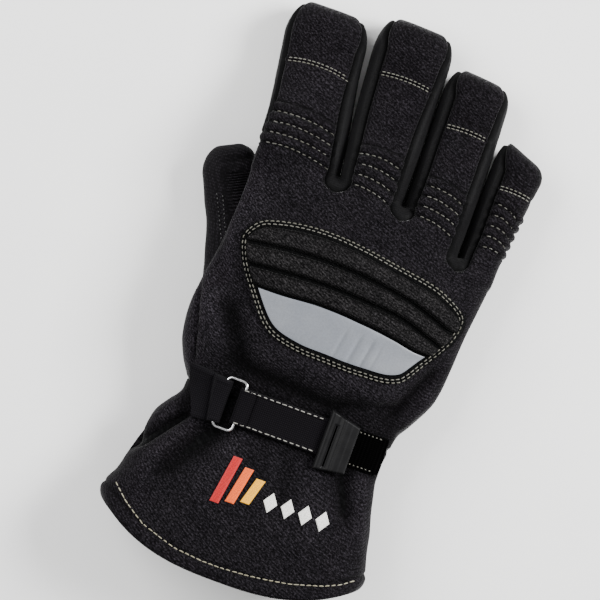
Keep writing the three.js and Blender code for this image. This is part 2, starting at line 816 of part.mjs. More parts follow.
// The shield over the knuckles. `at` is a share of the palm's width, the rest of the length.
const shield_lift = 0.5;
const shield_thickness = 1.2;
const shield_border = 2.6;
const groove_width = 1.6;
const pad_height = 2.6;
const pad_edge = 0.8;
const reflective_thickness = 0.6;
const shield = [
  { at: -0.364, upper: 0.092, lower: 0.08 },
  { at: -0.331, upper: 0.116, lower: 0.045 },
  { at: -0.281, upper: 0.127, lower: 0.013 },
  { at: -0.17, upper: 0.138, lower: -0.045 },
  { at: -0.05, upper: 0.141, lower: -0.063 },
  { at: 0.074, upper: 0.137, lower: -0.066 },
  { at: 0.207, upper: 0.128, lower: -0.067 },
  { at: 0.364, upper: 0.117, lower: -0.056 },
  { at: 0.43, upper: 0.106, lower: -0.013 },
  { at: 0.488, upper: 0.092, lower: 0.03 },
  { at: 0.51, upper: 0.082, lower: 0.058 },
];
const grooves = [
  { at: -0.33, first: 0.081, second: 0.045, third: 0.016 },
  { at: -0.165, first: 0.0895, second: 0.0515, third: 0.016 },
  { at: 0, first: 0.0925, second: 0.055, third: 0.0205 },
  { at: 0.165, first: 0.087, second: 0.052, third: 0.016 },
  { at: 0.29, first: 0.078, second: 0.0465, third: 0.009 },
  { at: 0.372, first: 0.068, second: 0.035, third: 0.002 },
  { at: 0.46, first: 0.053, second: 0.021, third: 0.002 },
];
const reflective = [
  { at: -0.252, upper: 0.0178, lower: 0.0155 },
  { at: -0.211, upper: 0.0165, lower: -0.0075 },
  { at: -0.165, upper: 0.016, lower: -0.031 },
  { at: -0.116, upper: 0.0157, lower: -0.0445 },
  { at: 0, upper: 0.0205, lower: -0.0466 },
  { at: 0.149, upper: 0.0165, lower: -0.0435 },
  { at: 0.281, upper: 0.0098, lower: -0.0466 },
  { at: 0.335, upper: 0.004, lower: -0.0445 },
  { at: 0.378, upper: 0.002, lower: -0.022 },
  { at: 0.424, upper: 0.005, lower: 0.003 },
];

function between_curves(from, to, lower, upper) {
  return (u, v) => {
    const at = mix(from, to, (1 - Math.cos(Math.PI * u)) / 2);
    return [at * palm_width, mix(lower(at), upper(at), v) * glove_length];
  };
}

const table_curve = (table, column) => (at) => read(table, column, at);
const shield_place = between_curves(
  shield[0].at,
  shield.at(-1).at,
  table_curve(shield, "lower"),
  table_curve(shield, "upper"),
);
add_piece("knuckle_backing", slab(14, 6, shield_lift, shield_place, () => shield_thickness), shell_black);

// The three pads fill the shield between its border and the grooves.
const pad_lift = shield_lift + shield_thickness + seam_gap;
const border = shield_border / glove_length;
const half_groove = groove_width / glove_length / 2;
const inside_upper = (at) => read(shield, "upper", at) - border;
const inside_lower = (at) => read(shield, "lower", at) + border;
const pads = [
  { name: "knuckle_pad_upper", upper: inside_upper, lower: table_curve(grooves, "first") },
  { name: "knuckle_pad_middle", upper: table_curve(grooves, "first"), lower: table_curve(grooves, "second") },
  { name: "knuckle_pad_lower", upper: table_curve(grooves, "second"), lower: table_curve(grooves, "third") },
];
pads.forEach(({ name, upper, lower }) => {
  const top = (at) => Math.min(inside_upper(at), upper(at) - half_groove);
  const bottom = (at) => Math.max(inside_lower(at), lower(at) + half_groove);
  const fits = (at) => top(at) - bottom(at) > half_groove * 2;
  const step = 0.004;
  let from = shield[0].at;
  let to = shield.at(-1).at;
  while (!fits(from)) from += step;
  while (!fits(to)) to -= step;
  const round = (v) => Math.sqrt(Math.max(0, 1 - (2 * v - 1) ** 2));
  const puff = (u, v) => pad_edge + pad_height * round(v) * Math.sin(Math.PI * u) ** 0.3;
  add_piece(name, slab(14, 4, pad_lift, between_curves(from, to, bottom, top), puff), smooth_black);
});
const reflective_place = between_curves(
  reflective[0].at,
  reflective.at(-1).at,
  table_curve(reflective, "lower"),
  (at) => read(reflective, "upper", at) - half_groove,
);
const reflective_slab = slab(14, 4, pad_lift, reflective_place, () => reflective_thickness);
add_piece("reflective_strip", reflective_slab, silver);

// The wrist adjuster: a tab sewn to the thumb side holds a wire ring, the webbing is folded
// round the ring and runs under the slider, and the elastic goes on to the far side seam.
const strap_middle = -0.184 * glove_length;
const strap_width = 17;
const strap_lift = 0.5;
const webbing_thickness = 1.6;
const fold_thickness = 4;
const fold_length = 8;
const ring_width = 11;
const ring_length = 23;
const ring_corner = 2.4;
const ring_radius = 0.8;
const ring_x = -0.207 * palm_width;
const anchor = { from: -0.345 * palm_width, width: 20 };
const anchor_end = ring_x - ring_width / 2 + 2.6;
const webbing_start = ring_x + ring_width / 2 - 2.4;
const slider_x = 0.222 * palm_width;
const elastic_end = 0.392 * palm_width;

function strap_place(from, to, width) {
  return (u, v) => [mix(from, to, u), strap_middle + width * (v - 0.5)];
}

const ring_seat = laid_on_back(ring_x, strap_middle, strap_lift + fold_thickness / 2);
const ring_frame = new THREE.Matrix4().makeBasis(
  new THREE.Vector3(1, 0, 0).projectOnPlane(ring_seat.normal).normalize(),
  new THREE.Vector3().crossVectors(ring_seat.normal, new THREE.Vector3(1, 0, 0)).normalize(),
  ring_seat.normal,
);
ring_frame.setPosition(ring_seat.point);

function ring_grid(radius) {
  const sides = 6;
  const turns = 4;
  const rows = [];
  [0, 1, 2, 3].forEach((corner) => {
    for (let k = 0; k <= turns; k += 1) {
      const turn = (Math.PI / 2) * (corner + k / turns);
      const sign_x = corner === 0 || corner === 3 ? 1 : -1;
      const sign_y = corner < 2 ? 1 : -1;
      const outward = new THREE.Vector3(Math.cos(turn), Math.sin(turn), 0);
      const centre = new THREE.Vector3(
        sign_x * (ring_width / 2 - ring_corner),
        sign_y * (ring_length / 2 - ring_corner),
        0,
      ).addScaledVector(outward, ring_corner);
      const row = [];
      for (let j = 0; j < sides; j += 1) {
        const angle = (2 * Math.PI * (j + 0.5)) / sides;
        const point = centre.clone().addScaledVector(outward, radius * Math.cos(angle));
        point.z = radius * Math.sin(angle);
        row.push(point.applyMatrix4(ring_frame));
      }
      row.push(row[0].clone());
      rows.push(row);
    }
  });
  rows.push(rows[0].map((point) => point.clone()));
  return rows;
}

function ring_geometry(radius) {
  const { points, faces } = faces_of([{ grid: ring_grid(radius), flip: true }]);
  return geometry_from(points, faces);
}
add_piece("ring_wire", ring_geometry(ring_radius), chrome);
const ring_room = solid_of(ring_geometry(ring_radius + seam_gap));

function folded(from, to, fold_at_start) {
  const share = fold_length / (to - from);
  return (u) => {
    const away = fold_at_start ? u : 1 - u;
    return mix(fold_thickness, webbing_thickness, ease(share * 0.7, share, away));
  };
}
const anchor_slab = slab(
  10,
  2,
  strap_lift,
  strap_place(anchor.from, anchor_end, anchor.width),
  folded(anchor.from, anchor_end, false),
);
add_piece("strap_anchor", cut(anchor_slab, ring_room), webbing_black);
const webbing_slab = slab(
  10,
  2,
  strap_lift,
  strap_place(webbing_start, slider_x, strap_width),
  folded(webbing_start, slider_x, true),
);
add_piece("strap_webbing", cut(webbing_slab, ring_room), webbing_black);
const elastic_slab = slab(
  10,
  2,
  strap_lift,
  strap_place(slider_x + seam_gap, elastic_end, strap_width),
  () => webbing_thickness,
);
add_piece("strap_elastic", elastic_slab, webbing_black);

// The slider: a moulded tab with a slot, laid over the joint of webbing and elastic.
const slider = {
  left: -7.4,
  right: 7.4,
  left_top: 14.4,
  right_top: 10.6,
  left_foot: -13.6,
  right_foot: -11.6,
};
const slider_thickness = 2.4;
const slider_bevel = 0.5;
const slider_slot = { half_width: 0.9, half_length: 8 };
const slider_shape = new THREE.Shape();
slider_shape.moveTo(slider.left, slider.left_foot);
slider_shape.lineTo(slider.right, slider.right_foot);
slider_shape.lineTo(slider.right, slider.right_top);
slider_shape.lineTo(slider.left, slider.left_top);
slider_shape.closePath();
const slot_shape = new THREE.Path();
slot_shape.moveTo(-slider_slot.half_width, -slider_slot.half_length);
slot_shape.lineTo(-slider_slot.half_width, slider_slot.half_length);
slot_shape.lineTo(slider_slot.half_width, slider_slot.half_length);
slot_shape.lineTo(slider_slot.half_width, -slider_slot.half_length);
slot_shape.closePath();
slider_shape.holes.push(slot_shape);
const slider_geometry = new THREE.ExtrudeGeometry(slider_shape, {
  depth: slider_thickness,
  bevelThickness: slider_bevel,
  bevelSize: slider_bevel,
  bevelOffset: -slider_bevel,
  bevelSegments: 1,
});
const slider_lift = strap_lift + webbing_thickness + seam_gap + slider_bevel + 0.3;
const slider_seat = laid_on_back(slider_x, strap_middle - 1.2, slider_lift);
const slider_mesh = add_piece("strap_slider", slider_geometry, rubber);
slider_mesh.position.copy(slider_seat.point);
slider_mesh.quaternion.setFromUnitVectors(new THREE.Vector3(0, 0, 1), slider_seat.normal);

// The embroidered motif on the cuff: three slanted bars, then four small lozenges.
const thread_thickness = 0.7;
const thread_lift = 0.4;
const bars = [
  { name: "motif_bar_red", x: -14, y: -81.5, width: 4.2, height: 22, look: thread_red },
  { name: "motif_bar_orange", x: -7.5, y: -82, width: 4.2, height: 17, look: thread_orange },
  { name: "motif_bar_amber", x: -1, y: -82.5, width: 4.2, height: 12, look: thread_amber },
];
const bar_slant = 3.5;
bars.forEach(({ name, x, y, width, height, look }) => {
  const place = (u, v) => [x + width * (u - 0.5) + bar_slant * (v - 0.5), y + height * (v - 0.5)];
  add_piece(name, slab(1, 4, thread_lift, place, () => thread_thickness), look);
});
const lozenges = { count: 4, first_x: 8, pitch: 8.2, y: -84.5, half_width: 3.2, half_height: 4.6 };
for (let i = 0; i < lozenges.count; i += 1) {
  const x = lozenges.first_x + i * lozenges.pitch;
  const place = (u, v) => [
    x + lozenges.half_width * (u + v - 1),
    lozenges.y + lozenges.half_height * (v - u),
  ];
  add_piece(`motif_lozenge_${i + 1}`, slab(2, 2, thread_lift, place, () => thread_thickness), thread_white);
}

export default glove;
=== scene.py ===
import json
import math

import bpy
import numpy as np
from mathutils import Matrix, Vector, noise
from mathutils.bvhtree import BVHTree
from mathutils.kdtree import KDTree

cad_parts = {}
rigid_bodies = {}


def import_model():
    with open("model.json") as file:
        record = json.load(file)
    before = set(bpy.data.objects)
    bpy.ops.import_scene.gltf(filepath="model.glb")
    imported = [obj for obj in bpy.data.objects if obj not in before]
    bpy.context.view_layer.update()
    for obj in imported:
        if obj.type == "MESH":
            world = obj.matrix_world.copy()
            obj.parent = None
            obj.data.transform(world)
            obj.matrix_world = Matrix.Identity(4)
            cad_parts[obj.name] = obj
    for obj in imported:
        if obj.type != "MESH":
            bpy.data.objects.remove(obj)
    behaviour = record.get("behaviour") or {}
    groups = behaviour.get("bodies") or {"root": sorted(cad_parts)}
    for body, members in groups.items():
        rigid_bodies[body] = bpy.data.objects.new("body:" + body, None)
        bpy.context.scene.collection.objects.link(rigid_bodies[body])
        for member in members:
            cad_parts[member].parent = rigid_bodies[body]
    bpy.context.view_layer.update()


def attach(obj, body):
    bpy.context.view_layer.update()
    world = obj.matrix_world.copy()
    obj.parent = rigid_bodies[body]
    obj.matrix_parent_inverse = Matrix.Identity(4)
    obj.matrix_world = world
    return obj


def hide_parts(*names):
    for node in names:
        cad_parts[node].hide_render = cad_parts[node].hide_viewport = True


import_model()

# A right-hand firefighter glove, lying palm down. Sizes are in millimetres: +Y points to the
# fingertips, +X to the little finger and +Z up from the table.

# The glove lies on a plain pale board. The camera looks straight down on it through a long
# lens, and two broad soft lamps light it, with a pale room round them.
MM = 0.001
TABLE_HALF = 1500
TABLE_DROP = 0.2
VIEW_CENTRE = (-10.4, 4.8, 20)
VIEW_WIDTH = 270
VIEW_TURN = 20
LENS = 200
SENSOR = 36
SIGHT = 20000
SHARP_ANGLE = 40
LAMP_AIM = (0, 0, 20)
LAMPS = [
    # name, place, size, power
    ("lamp_upper_right", (800, 500, 700), 450, 34),
    ("lamp_left", (-800, 200, 700), 900, 20),
]
ROOM_LIGHT = 0.64


def node(tree, kind, values=None, links=None, **settings):
    made = tree.nodes.new(kind)
    for name, value in settings.items():
        setattr(made, name, value)
    for name, value in (values or {}).items():
        made.inputs[name].default_value = value
    for name, socket in (links or {}).items():
        tree.links.new(socket, made.inputs[name])
    return made


def new_finish(name, colour, roughness, **levels):
    finish = bpy.data.materials.new(name)
    finish.use_nodes = True
    tree = finish.node_tree
    shader = tree.nodes["Principled BSDF"]
    shader.inputs["Base Color"].default_value = (*colour, 1)
    shader.inputs["Roughness"].default_value = roughness
    for level, value in levels.items():
        shader.inputs[level.replace("_", " ")].default_value = value
    return finish, tree, shader


def ramp(tree, socket, stops):
    made = node(tree, "ShaderNodeValToRGB", links={"Fac": socket})
    marks = made.color_ramp.elements
    marks[0].position, marks[1].position = stops[0][0], stops[-1][0]
    marks[0].color, marks[1].color = (*stops[0][1], 1), (*stops[-1][1], 1)
    for place, colour in stops[1:-1]:
        marks.new(place).color = (*colour, 1)
    return made.outputs["Color"]


def piece_from(name, points, faces, finishes, worn=None, tone=None):
    mesh = bpy.data.meshes.new(name)
    mesh.from_pydata((np.asarray(points) * MM).tolist(), [], faces)
    for finish in finishes:
        mesh.materials.append(finish)
    if worn is not None:
        mesh.polygons.foreach_set("material_index", np.asarray(worn, np.int32))
    # The point attribute "tone" scales a finish's colour: the sewn sheets, the thumb, the pads and the film
    # carry their painted shade and painted light in it.
    shade = mesh.attributes.new("tone", "FLOAT", "POINT")
    shade.data.foreach_set("value", np.ones(len(points)) if tone is None else tone)
    mesh.shade_smooth()
    mesh.set_sharp_from_angle(angle=math.radians(SHARP_ANGLE))
    mesh.update()
    piece = bpy.data.objects.new(name, mesh)
    bpy.context.scene.collection.objects.link(piece)
    return piece


board_finish, board_tree, board_shader = new_finish("pale_board", (0.86, 0.86, 0.85), 0.8)
board_grain = node(board_tree, "ShaderNodeTexNoise", {"Scale": 40.0, "Detail": 4.0})
board_tone = ramp(
    board_tree,
    board_grain.outputs["Fac"],
    [(0.3, (0.85, 0.85, 0.85)), (0.7, (0.88, 0.88, 0.87))],
)
board_tree.links.new(board_tone, board_shader.inputs["Base Color"])
corner = TABLE_HALF
board = piece_from(
    "table_top",
    [(-corner, -corner, -TABLE_DROP), (corner, -corner, -TABLE_DROP),
     (corner, corner, -TABLE_DROP), (-corner, corner, -TABLE_DROP)],
    [(0, 1, 2, 3)],
    [board_finish],
)

camera_data = bpy.data.cameras.new("camera")
camera_data.lens = LENS
camera_data.sensor_width = SENSOR
camera_data.clip_end = SIGHT * MM
camera = bpy.data.objects.new("camera", camera_data)
distance = VIEW_WIDTH * LENS / SENSOR
camera.location = Vector(VIEW_CENTRE) * MM + Vector((0, 0, distance * MM))
camera.rotation_euler = (0, 0, math.radians(VIEW_TURN))
bpy.context.scene.collection.objects.link(camera)
bpy.context.scene.camera = camera

for name, place, size, power in LAMPS:
    lamp = bpy.data.lights.new(name, "AREA")
    lamp.shape = "SQUARE"
    lamp.size = size * MM
    lamp.energy = power
    holder = bpy.data.objects.new(name, lamp)
    holder.location = Vector(place) * MM
    holder.rotation_euler = (Vector(LAMP_AIM) - Vector(place)).to_track_quat("-Z", "Y").to_euler()
    bpy.context.scene.collection.objects.link(holder)
room = bpy.data.worlds.new("room")
room.use_nodes = True
background = room.node_tree.nodes["Background"]
background.inputs["Color"].default_value = (1, 1, 1, 1)
background.inputs["Strength"].default_value = ROOM_LIGHT
bpy.context.scene.world = room

# The glove's form: the cloth shell is cut to these sections from the hem to the knuckles, with
# four fingers set into the row of knuckles. Columns are shares of the glove's length along it,
# of the palm's width across it and of the palm's height up.
GLOVE_LENGTH = 266
PALM_WIDTH = 121
PALM_HEIGHT = 41
FINGER_RISE = 13
FINGER_DROP = 12
FINGERTIP_HEIGHT = 11
ROUNDNESS = 0.75
UNDERSIDE = 0.6
REST_SINK = 1.2
WEB_DEPTH = 7
STRIP_WIDTH_ABOVE = 4.6
STRIP_SWELL = {"left": 0.9, "right": 0.8}
STRIP_TAPER = 2.4
STRIP_WIDTH_BELOW = 3.5
WIDEST_STRIP = 0.55
STRIP_END = 75
OUTER_STRIP = 30
FINGER_GAP = 0.35
CROWN_SLOPE = 0.2
OVER_THUMB = (-0.72, -0.1)
TIP_FULLNESS = 0.8
WRIST = -0.173 * GLOVE_LENGTH
HEM_SIDE = WRIST - 20
ROW_STEP = 0.75
COLUMNS = 30
STRIP_COLUMNS = 16
WEB_ROWS = 12
TIP_ROWS = 16
EVEN = 1 / ROUNDNESS


def table_of(columns, rows):
    return {name: np.array([row[k] for row in rows], float) for k, name in enumerate(columns.split())}


SECTIONS = table_of("at left right bow crown seam_left seam_right lift", [
    (-0.408, -0.531, 0.49, 0.062, 1.12, 0.42, 0.4, 0),
    (-0.382, -0.542, 0.493, 0.056, 1.1, 0.42, 0.4, 0),
    (-0.355, -0.516, 0.474, 0.046, 1.07, 0.42, 0.4, 0),
    (-0.306, -0.488, 0.446, 0.03, 1.0, 0.42, 0.4, 0),
    (-0.243, -0.435, 0.417, 0.014, 0.85, 0.41, 0.4, 0),
    (-0.203, -0.387, 0.409, 0.006, 0.82, 0.41, 0.4, 0),
    (-0.173, -0.382, 0.417, 0.003, 0.82, 0.41, 0.4, 0),
    (-0.143, -0.421, 0.43, 0, 0.845, 0.43, 0.39, 0),
    (-0.105, -0.455, 0.475, 0, 0.91, 0.46, 0.38, 0.02),
    (-0.06, -0.465, 0.521, 0, 0.95, 0.52, 0.36, 0.1),
    (0, -0.457, 0.533, 0, 0.98, 0.61, 0.34, 0.33),
    (0.048, -0.44, 0.54, 0, 1.0, 0.68, 0.32, 0.49),
    (0.098, -0.428, 0.554, 0, 1.0, 0.71, 0.31, 0.5),
    (0.158, -0.42, 0.566, 0, 0.97, 0.71, 0.3, 0.48),
    (0.216, -0.426, 0.573, 0, 0.92, 0.7, 0.3, 0.4),
])
KNUCKLES = table_of("at forward", [
    (-1, 0.198), (-0.35, 0.208), (0.18, 0.2), (0.7, 0.153), (1, 0.14),
])
SIDES = "at left right"
FINGERS = [
    {
        "name": "index", "base": (0.237, 0.237), "round": 0.443, "cap": 0.39, "rise": 0.27,
        "tip": (-0.418, -0.265), "tip_at": (0.503, 0.504), "heights": (0.7, 0.56),
        "sides": table_of(SIDES, [
            (0.237, -0.429, -0.106), (0.301, -0.436, -0.124),
            (0.353, -0.452, -0.143), (0.4, -0.468, -0.161), (0.443, -0.483, -0.173),
        ]),
    },
    {
        "name": "middle", "base": (0.237, 0.229), "round": 0.47, "cap": 0.421, "rise": 0.43,
        "tip": (-0.085, 0.072), "tip_at": (0.527, 0.525), "heights": (0.56, 0.4),
        "sides": table_of(SIDES, [(0.23, -0.098, 0.152), (0.353, -0.131, 0.148), (0.47, -0.15, 0.142)]),
    },
    {
        "name": "ring", "base": (0.229, 0.179), "round": 0.432, "cap": 0.375, "rise": 0.46,
        "tip": (0.21, 0.33), "tip_at": (0.483, 0.477), "heights": (0.4, 0.31),
        "sides": table_of(SIDES, [(0.179, 0.162, 0.41), (0.3, 0.156, 0.411), (0.432, 0.151, 0.4)]),
    },
    {
        "name": "little", "base": (0.179, 0.172), "round": 0.342, "cap": 0.308, "rise": 0.32,
        "tip": (0.455, 0.55), "tip_at": (0.393, 0.372), "heights": (0.31, 0.3),
        "sides": table_of(SIDES, [(0.17, 0.417, 0.57), (0.266, 0.417, 0.588), (0.345, 0.419, 0.614)]),
    },
]


def read(table, column, at):
    places, values = table["at"], table[column]
    last = len(places) - 1
    at = np.asarray(at, float)
    k = np.clip(np.searchsorted(places, at) - 1, 0, last - 1)
    before = np.maximum(np.arange(last + 1) - 1, 0)
    after = np.minimum(np.arange(last + 1) + 1, last)
    slopes = (values[after] - values[before]) / (places[after] - places[before])
    span = places[k + 1] - places[k]
    t = np.clip((at - places[k]) / span, 0, 1)
    return (
        (2 * t**3 - 3 * t**2 + 1) * values[k]
        + (t**3 - 2 * t**2 + t) * span * slopes[k]
        + (3 * t**2 - 2 * t**3) * values[k + 1]
        + (t**3 - t**2) * span * slopes[k + 1]
    )


def mix(a, b, share):
    return a + (b - a) * share


def ease(low, high, value):
    t = np.clip((value - low) / (high - low), 0, 1)
    return t * t * (3 - 2 * t)


def power(value, exponent):
    return np.sign(value) * np.abs(value) ** exponent


def skin(level, angle, on_back):
    at = level / GLOVE_LENGTH
    left = read(SECTIONS, "left", at) * PALM_WIDTH
    right = read(SECTIONS, "right", at) * PALM_WIDTH
    across = power(np.cos(angle), ROUNDNESS)
    round_it = np.maximum(np.sin(angle), 0)
    sides = mix(read(SECTIONS, "seam_left", at), read(SECTIONS, "seam_right", at), (across + 1) / 2)
    seam = sides * PALM_HEIGHT
    x = (left + right) / 2 + (right - left) / 2 * across
    y = level - read(SECTIONS, "bow", at) * GLOVE_LENGTH * round_it**2
    if on_back:
        slope = 1 - CROWN_SLOPE * np.maximum(across, 0) * ease(WRIST / GLOVE_LENGTH, 0, at)
        crown = read(SECTIONS, "crown", at) * slope * PALM_HEIGHT
        z = seam + (crown - seam) * round_it**ROUNDNESS
    else:
        lift = np.maximum(read(SECTIONS, "lift", at), 0) * PALM_HEIGHT
        ground = lift * (1 - ease(*OVER_THUMB, across))
        sink = REST_SINK * np.maximum(0, 1 - ground / 3)
        z = np.maximum(seam - (seam - ground + sink) * round_it**UNDERSIDE, 0)
    return np.stack(np.broadcast_arrays(x, y, z), -1)


def angle_across(across):
    return math.acos(power(across, 1 / ROUNDNESS))


def knuckle_level(angle):
    return read(KNUCKLES, "forward", power(np.cos(angle), ROUNDNESS)) * GLOVE_LENGTH


# Points are set evenly round a section, where even steps of the angle would crowd its sides.
def to_even(angle):
    turn = (math.pi / 2 - np.asarray(angle, float)) / (math.pi / 2)
    size = np.clip(np.abs(turn), 0, 1)
    return np.sign(turn) * size ** (1 / EVEN) / (size ** (1 / EVEN) + (1 - size) ** (1 / EVEN))


def from_even(place):
    size = np.clip(np.abs(place), 0, 1)
    turn = np.sign(place) * size**EVEN / (size**EVEN + (1 - size) ** EVEN)
    return math.pi / 2 * (1 - turn)


def evenly(start, end, columns):
    share = np.linspace(0, 1, columns + 1)
    first, last = np.asarray(to_even(start)), np.asarray(to_even(end))
    return from_even(first[..., None] + (last - first)[..., None] * share)


def fork_of(a, b):
    right = read(a["sides"], "right", a["base"][1])
    left = read(b["sides"], "left", b["base"][0])
    return np.array([(right + left) / 2 * PALM_WIDTH, a["base"][1] * GLOVE_LENGTH, 0])


FORKS = [fork_of(FINGERS[k], FINGERS[k + 1]) for k in range(3)]


def fork_angle(fork):
    foot = (fork[1] - WEB_DEPTH) / GLOVE_LENGTH
    left = read(SECTIONS, "left", foot) * PALM_WIDTH
    right = read(SECTIONS, "right", foot) * PALM_WIDTH
    return angle_across((fork[0] - (left + right) / 2) / ((right - left) / 2))


PARTINGS = [math.pi, *[fork_angle(fork) for fork in FORKS], 0]


def finger_form(finger):
    length = (finger["round"] - finger["base"][0]) * GLOVE_LENGTH
    share_below = (finger["cap"] - finger["base"][0]) * GLOVE_LENGTH / length
    below = np.linspace(0, share_below, int(share_below * length / ROW_STEP) + 1)
    above = np.linspace(share_below, 1, int((1 - share_below) * length / ROW_STEP) + 1)[1:]
    tip = np.radians(np.linspace(0, 90, TIP_ROWS + 1)[1:])
    along = np.concatenate([below, above, np.ones(TIP_ROWS)])
    turn = np.concatenate([np.zeros(len(below) + len(above)), tip])

    def side(k, name):
        low = mix(finger["base"][k], finger["cap"], along / share_below)
        high = mix(finger["cap"], finger["round"], (along - share_below) / (1 - share_below))
        at = np.where(along < share_below, low, high)
        x = read(finger["sides"], name, at) * PALM_WIDTH
        x = mix(x, finger["tip"][k] * PALM_WIDTH, 1 - np.cos(turn))
        y = mix(at, finger["tip_at"][k], np.sin(turn)) * GLOVE_LENGTH
        z = mix(finger["heights"][k] * PALM_HEIGHT, FINGERTIP_HEIGHT, ease(0, 0.9, along))
        return np.stack([x, y, z], -1)

    left, right = side(0, "left"), side(1, "right")
    half = np.linalg.norm(right - left, axis=1) / 2
    close = np.maximum(np.cos(turn), 0) ** TIP_FULLNESS
    fade = np.maximum(0, 1 - turn / math.radians(STRIP_END))

    def reach(width):
        share = 1 - np.minimum(width, WIDEST_STRIP * half) / half
        return np.arccos(share ** (1 / ROUNDNESS)) * fade

    outer = math.radians(OUTER_STRIP) * ease(0, 0.5, along) * fade
    first, last = finger["name"] == "index", finger["name"] == "little"
    left_width = STRIP_WIDTH_ABOVE + STRIP_SWELL["left"] * ease(0, 0.3, along)
    right_width = STRIP_WIDTH_ABOVE + STRIP_SWELL["right"] * ease(0, 0.25, along)
    right_width = right_width - STRIP_TAPER * ease(0.45, 1, along)

    return {
        "left": left,
        "right": right,
        "rise": mix(finger["rise"] * PALM_HEIGHT, FINGER_RISE, ease(0, 0.6, along)) * close,
        "drop": FINGER_DROP * close,
        "above": {
            "left": outer if first else reach(left_width),
            "right": 0 * along if last else reach(right_width),
        },
        "below": {
            "left": 0.8 * outer if first else reach(STRIP_WIDTH_BELOW),
            "right": 0 * along if last else reach(STRIP_WIDTH_BELOW),
        },
        "seam": len(below) - 1,
        "strip_end": int(np.searchsorted(turn, math.radians(STRIP_END))) + 1,
    }


FORMS = [finger_form(finger) for finger in FINGERS]


def finger_skin(form, angles, on_back):
    share = ((power(np.cos(angles), ROUNDNESS) + 1) / 2)[..., None]
    points = form["left"][:, None] * (1 - share) + form["right"][:, None] * share
    up = np.maximum(np.sin(angles), 0)
    if on_back:
        points[..., 2] += form["rise"][:, None] * up**ROUNDNESS
    else:
        points[..., 2] -= form["drop"][:, None] * up**UNDERSIDE
    points[..., 2] = np.maximum(points[..., 2], 0)
    return points


def web_edge(fork, start, foot, turn):
    first, last = start - fork, foot - fork
    radius = mix(math.hypot(*first[:2]), math.hypot(*last[:2]), math.sin(turn))
    x = fork[0] + np.sign(first[0]) * radius * math.cos(turn)
    y = fork[1] - radius * math.sin(turn)
    return np.array([x, y, mix(start[2], foot[2], math.sin(turn))])


def finger_panel(k, on_back):
    form = FORMS[k]
    edge = form["above"] if on_back else form["below"]
    grid = finger_skin(form, evenly(math.pi - edge["left"], edge["right"], COLUMNS), on_back)
    angles = evenly(PARTINGS[k], PARTINGS[k + 1], COLUMNS)
    knuckles = skin(knuckle_level(angles), angles, on_back)
    foot = [knuckles]
    share = np.linspace(0, 1, COLUMNS + 1)[:, None]
    for i in range(WEB_ROWS - 1, 0, -1):
        turn = math.radians(90 * i / WEB_ROWS)
        row = mix(grid[0], knuckles, math.sin(turn))
        if k > 0:
            row = row + (web_edge(FORKS[k - 1], grid[0][0], knuckles[0], turn) - row[0]) * (1 - share)
        if k < 3:
            row = row + (web_edge(FORKS[k], grid[0][-1], knuckles[-1], turn) - row[-1]) * share
        foot.append(row)
    return np.array(foot), grid


BACKS = [finger_panel(k, True) for k in range(4)]
UNDERS = [finger_panel(k, False) for k in range(4)]


def round_angles():
    spans = [evenly(PARTINGS[k], PARTINGS[k + 1], COLUMNS) for k in range(4)]
    return np.concatenate([spans[0], *[span[1:] for span in spans[1:]]])


def hand_grid(on_back):
    angles = round_angles()
    top = knuckle_level(angles)
    rows = int((top.mean() - WRIST) / ROW_STEP)
    levels = [mix(WRIST, top, i / rows) for i in range(rows + 1)]
    return np.array([skin(level, angles, on_back) for level in levels])


def cuff_grid(on_back):
    angles = round_angles()
    hem = SECTIONS["at"][0] * GLOVE_LENGTH
    rows = int((WRIST - hem) / ROW_STEP)
    levels = np.linspace(hem, WRIST, rows + 1)
    return np.array([skin(level + 0 * angles, angles, on_back) for level in levels])


def strip_rows(middle, above, below, angle_above, angle_below):
    half = STRIP_COLUMNS // 2
    fall = np.linspace(1, 0, half + 1)[:, None] ** EVEN
    rows = []
    for edge, angle, exponent in ((above, angle_above, ROUNDNESS), (below, angle_below, UNDERSIDE)):
        turn = fall * angle
        inward = (1 - np.cos(turn) ** ROUNDNESS) / (1 - np.cos(angle) ** ROUNDNESS)
        tall = (np.sin(turn) / np.sin(angle)) ** exponent
        rows.append(np.stack([mix(middle[k], edge[k], tall if k == 2 else inward) for k in range(3)], -1))
    upper, lower = rows
    return np.concatenate([upper, lower[::-1][1:]])[:, 0]


def finger_strip(k, side):
    form = FORMS[k]
    above, below = form["above"][side], form["below"][side]
    turn = (lambda angle: math.pi - angle) if side == "left" else (lambda angle: angle)
    tops = finger_skin(form, turn(above)[:, None], True)[:, 0]
    feet = finger_skin(form, turn(below)[:, None], False)[:, 0]
    return [
        strip_rows(form[side][i], tops[i], feet[i], max(above[i], 0.05), max(below[i], 0.05))
        for i in range(form["strip_end"])
    ]


def strip_grid(k):
    rows = finger_strip(k, "right")[::-1]
    centre = np.array([FORKS[k][0], FORKS[k][1], FORMS[k]["right"][0][2]])
    turns = [math.radians(90 * (WEB_ROWS - i) / WEB_ROWS) for i in range(WEB_ROWS)]
    for i in range(WEB_ROWS - 1, -1, -1):
        middle = centre + FINGER_GAP * np.array([-math.cos(turns[i]), -math.sin(turns[i]), 0])
        above, below = BACKS[k][0][i][-1], UNDERS[k][0][i][-1]
        form = FORMS[k]
        rows.append(strip_rows(middle, above, below, form["above"]["right"][0], form["below"]["right"][0]))
    for i in range(1, WEB_ROWS):
        middle = centre + FINGER_GAP * np.array([math.cos(turns[i]), -math.sin(turns[i]), 0])
        above, below = BACKS[k + 1][0][i][0], UNDERS[k + 1][0][i][0]
        form = FORMS[k + 1]
        rows.append(strip_rows(middle, above, below, form["above"]["left"][0], form["below"]["left"][0]))
    return np.array([*rows, *finger_strip(k + 1, "left")])


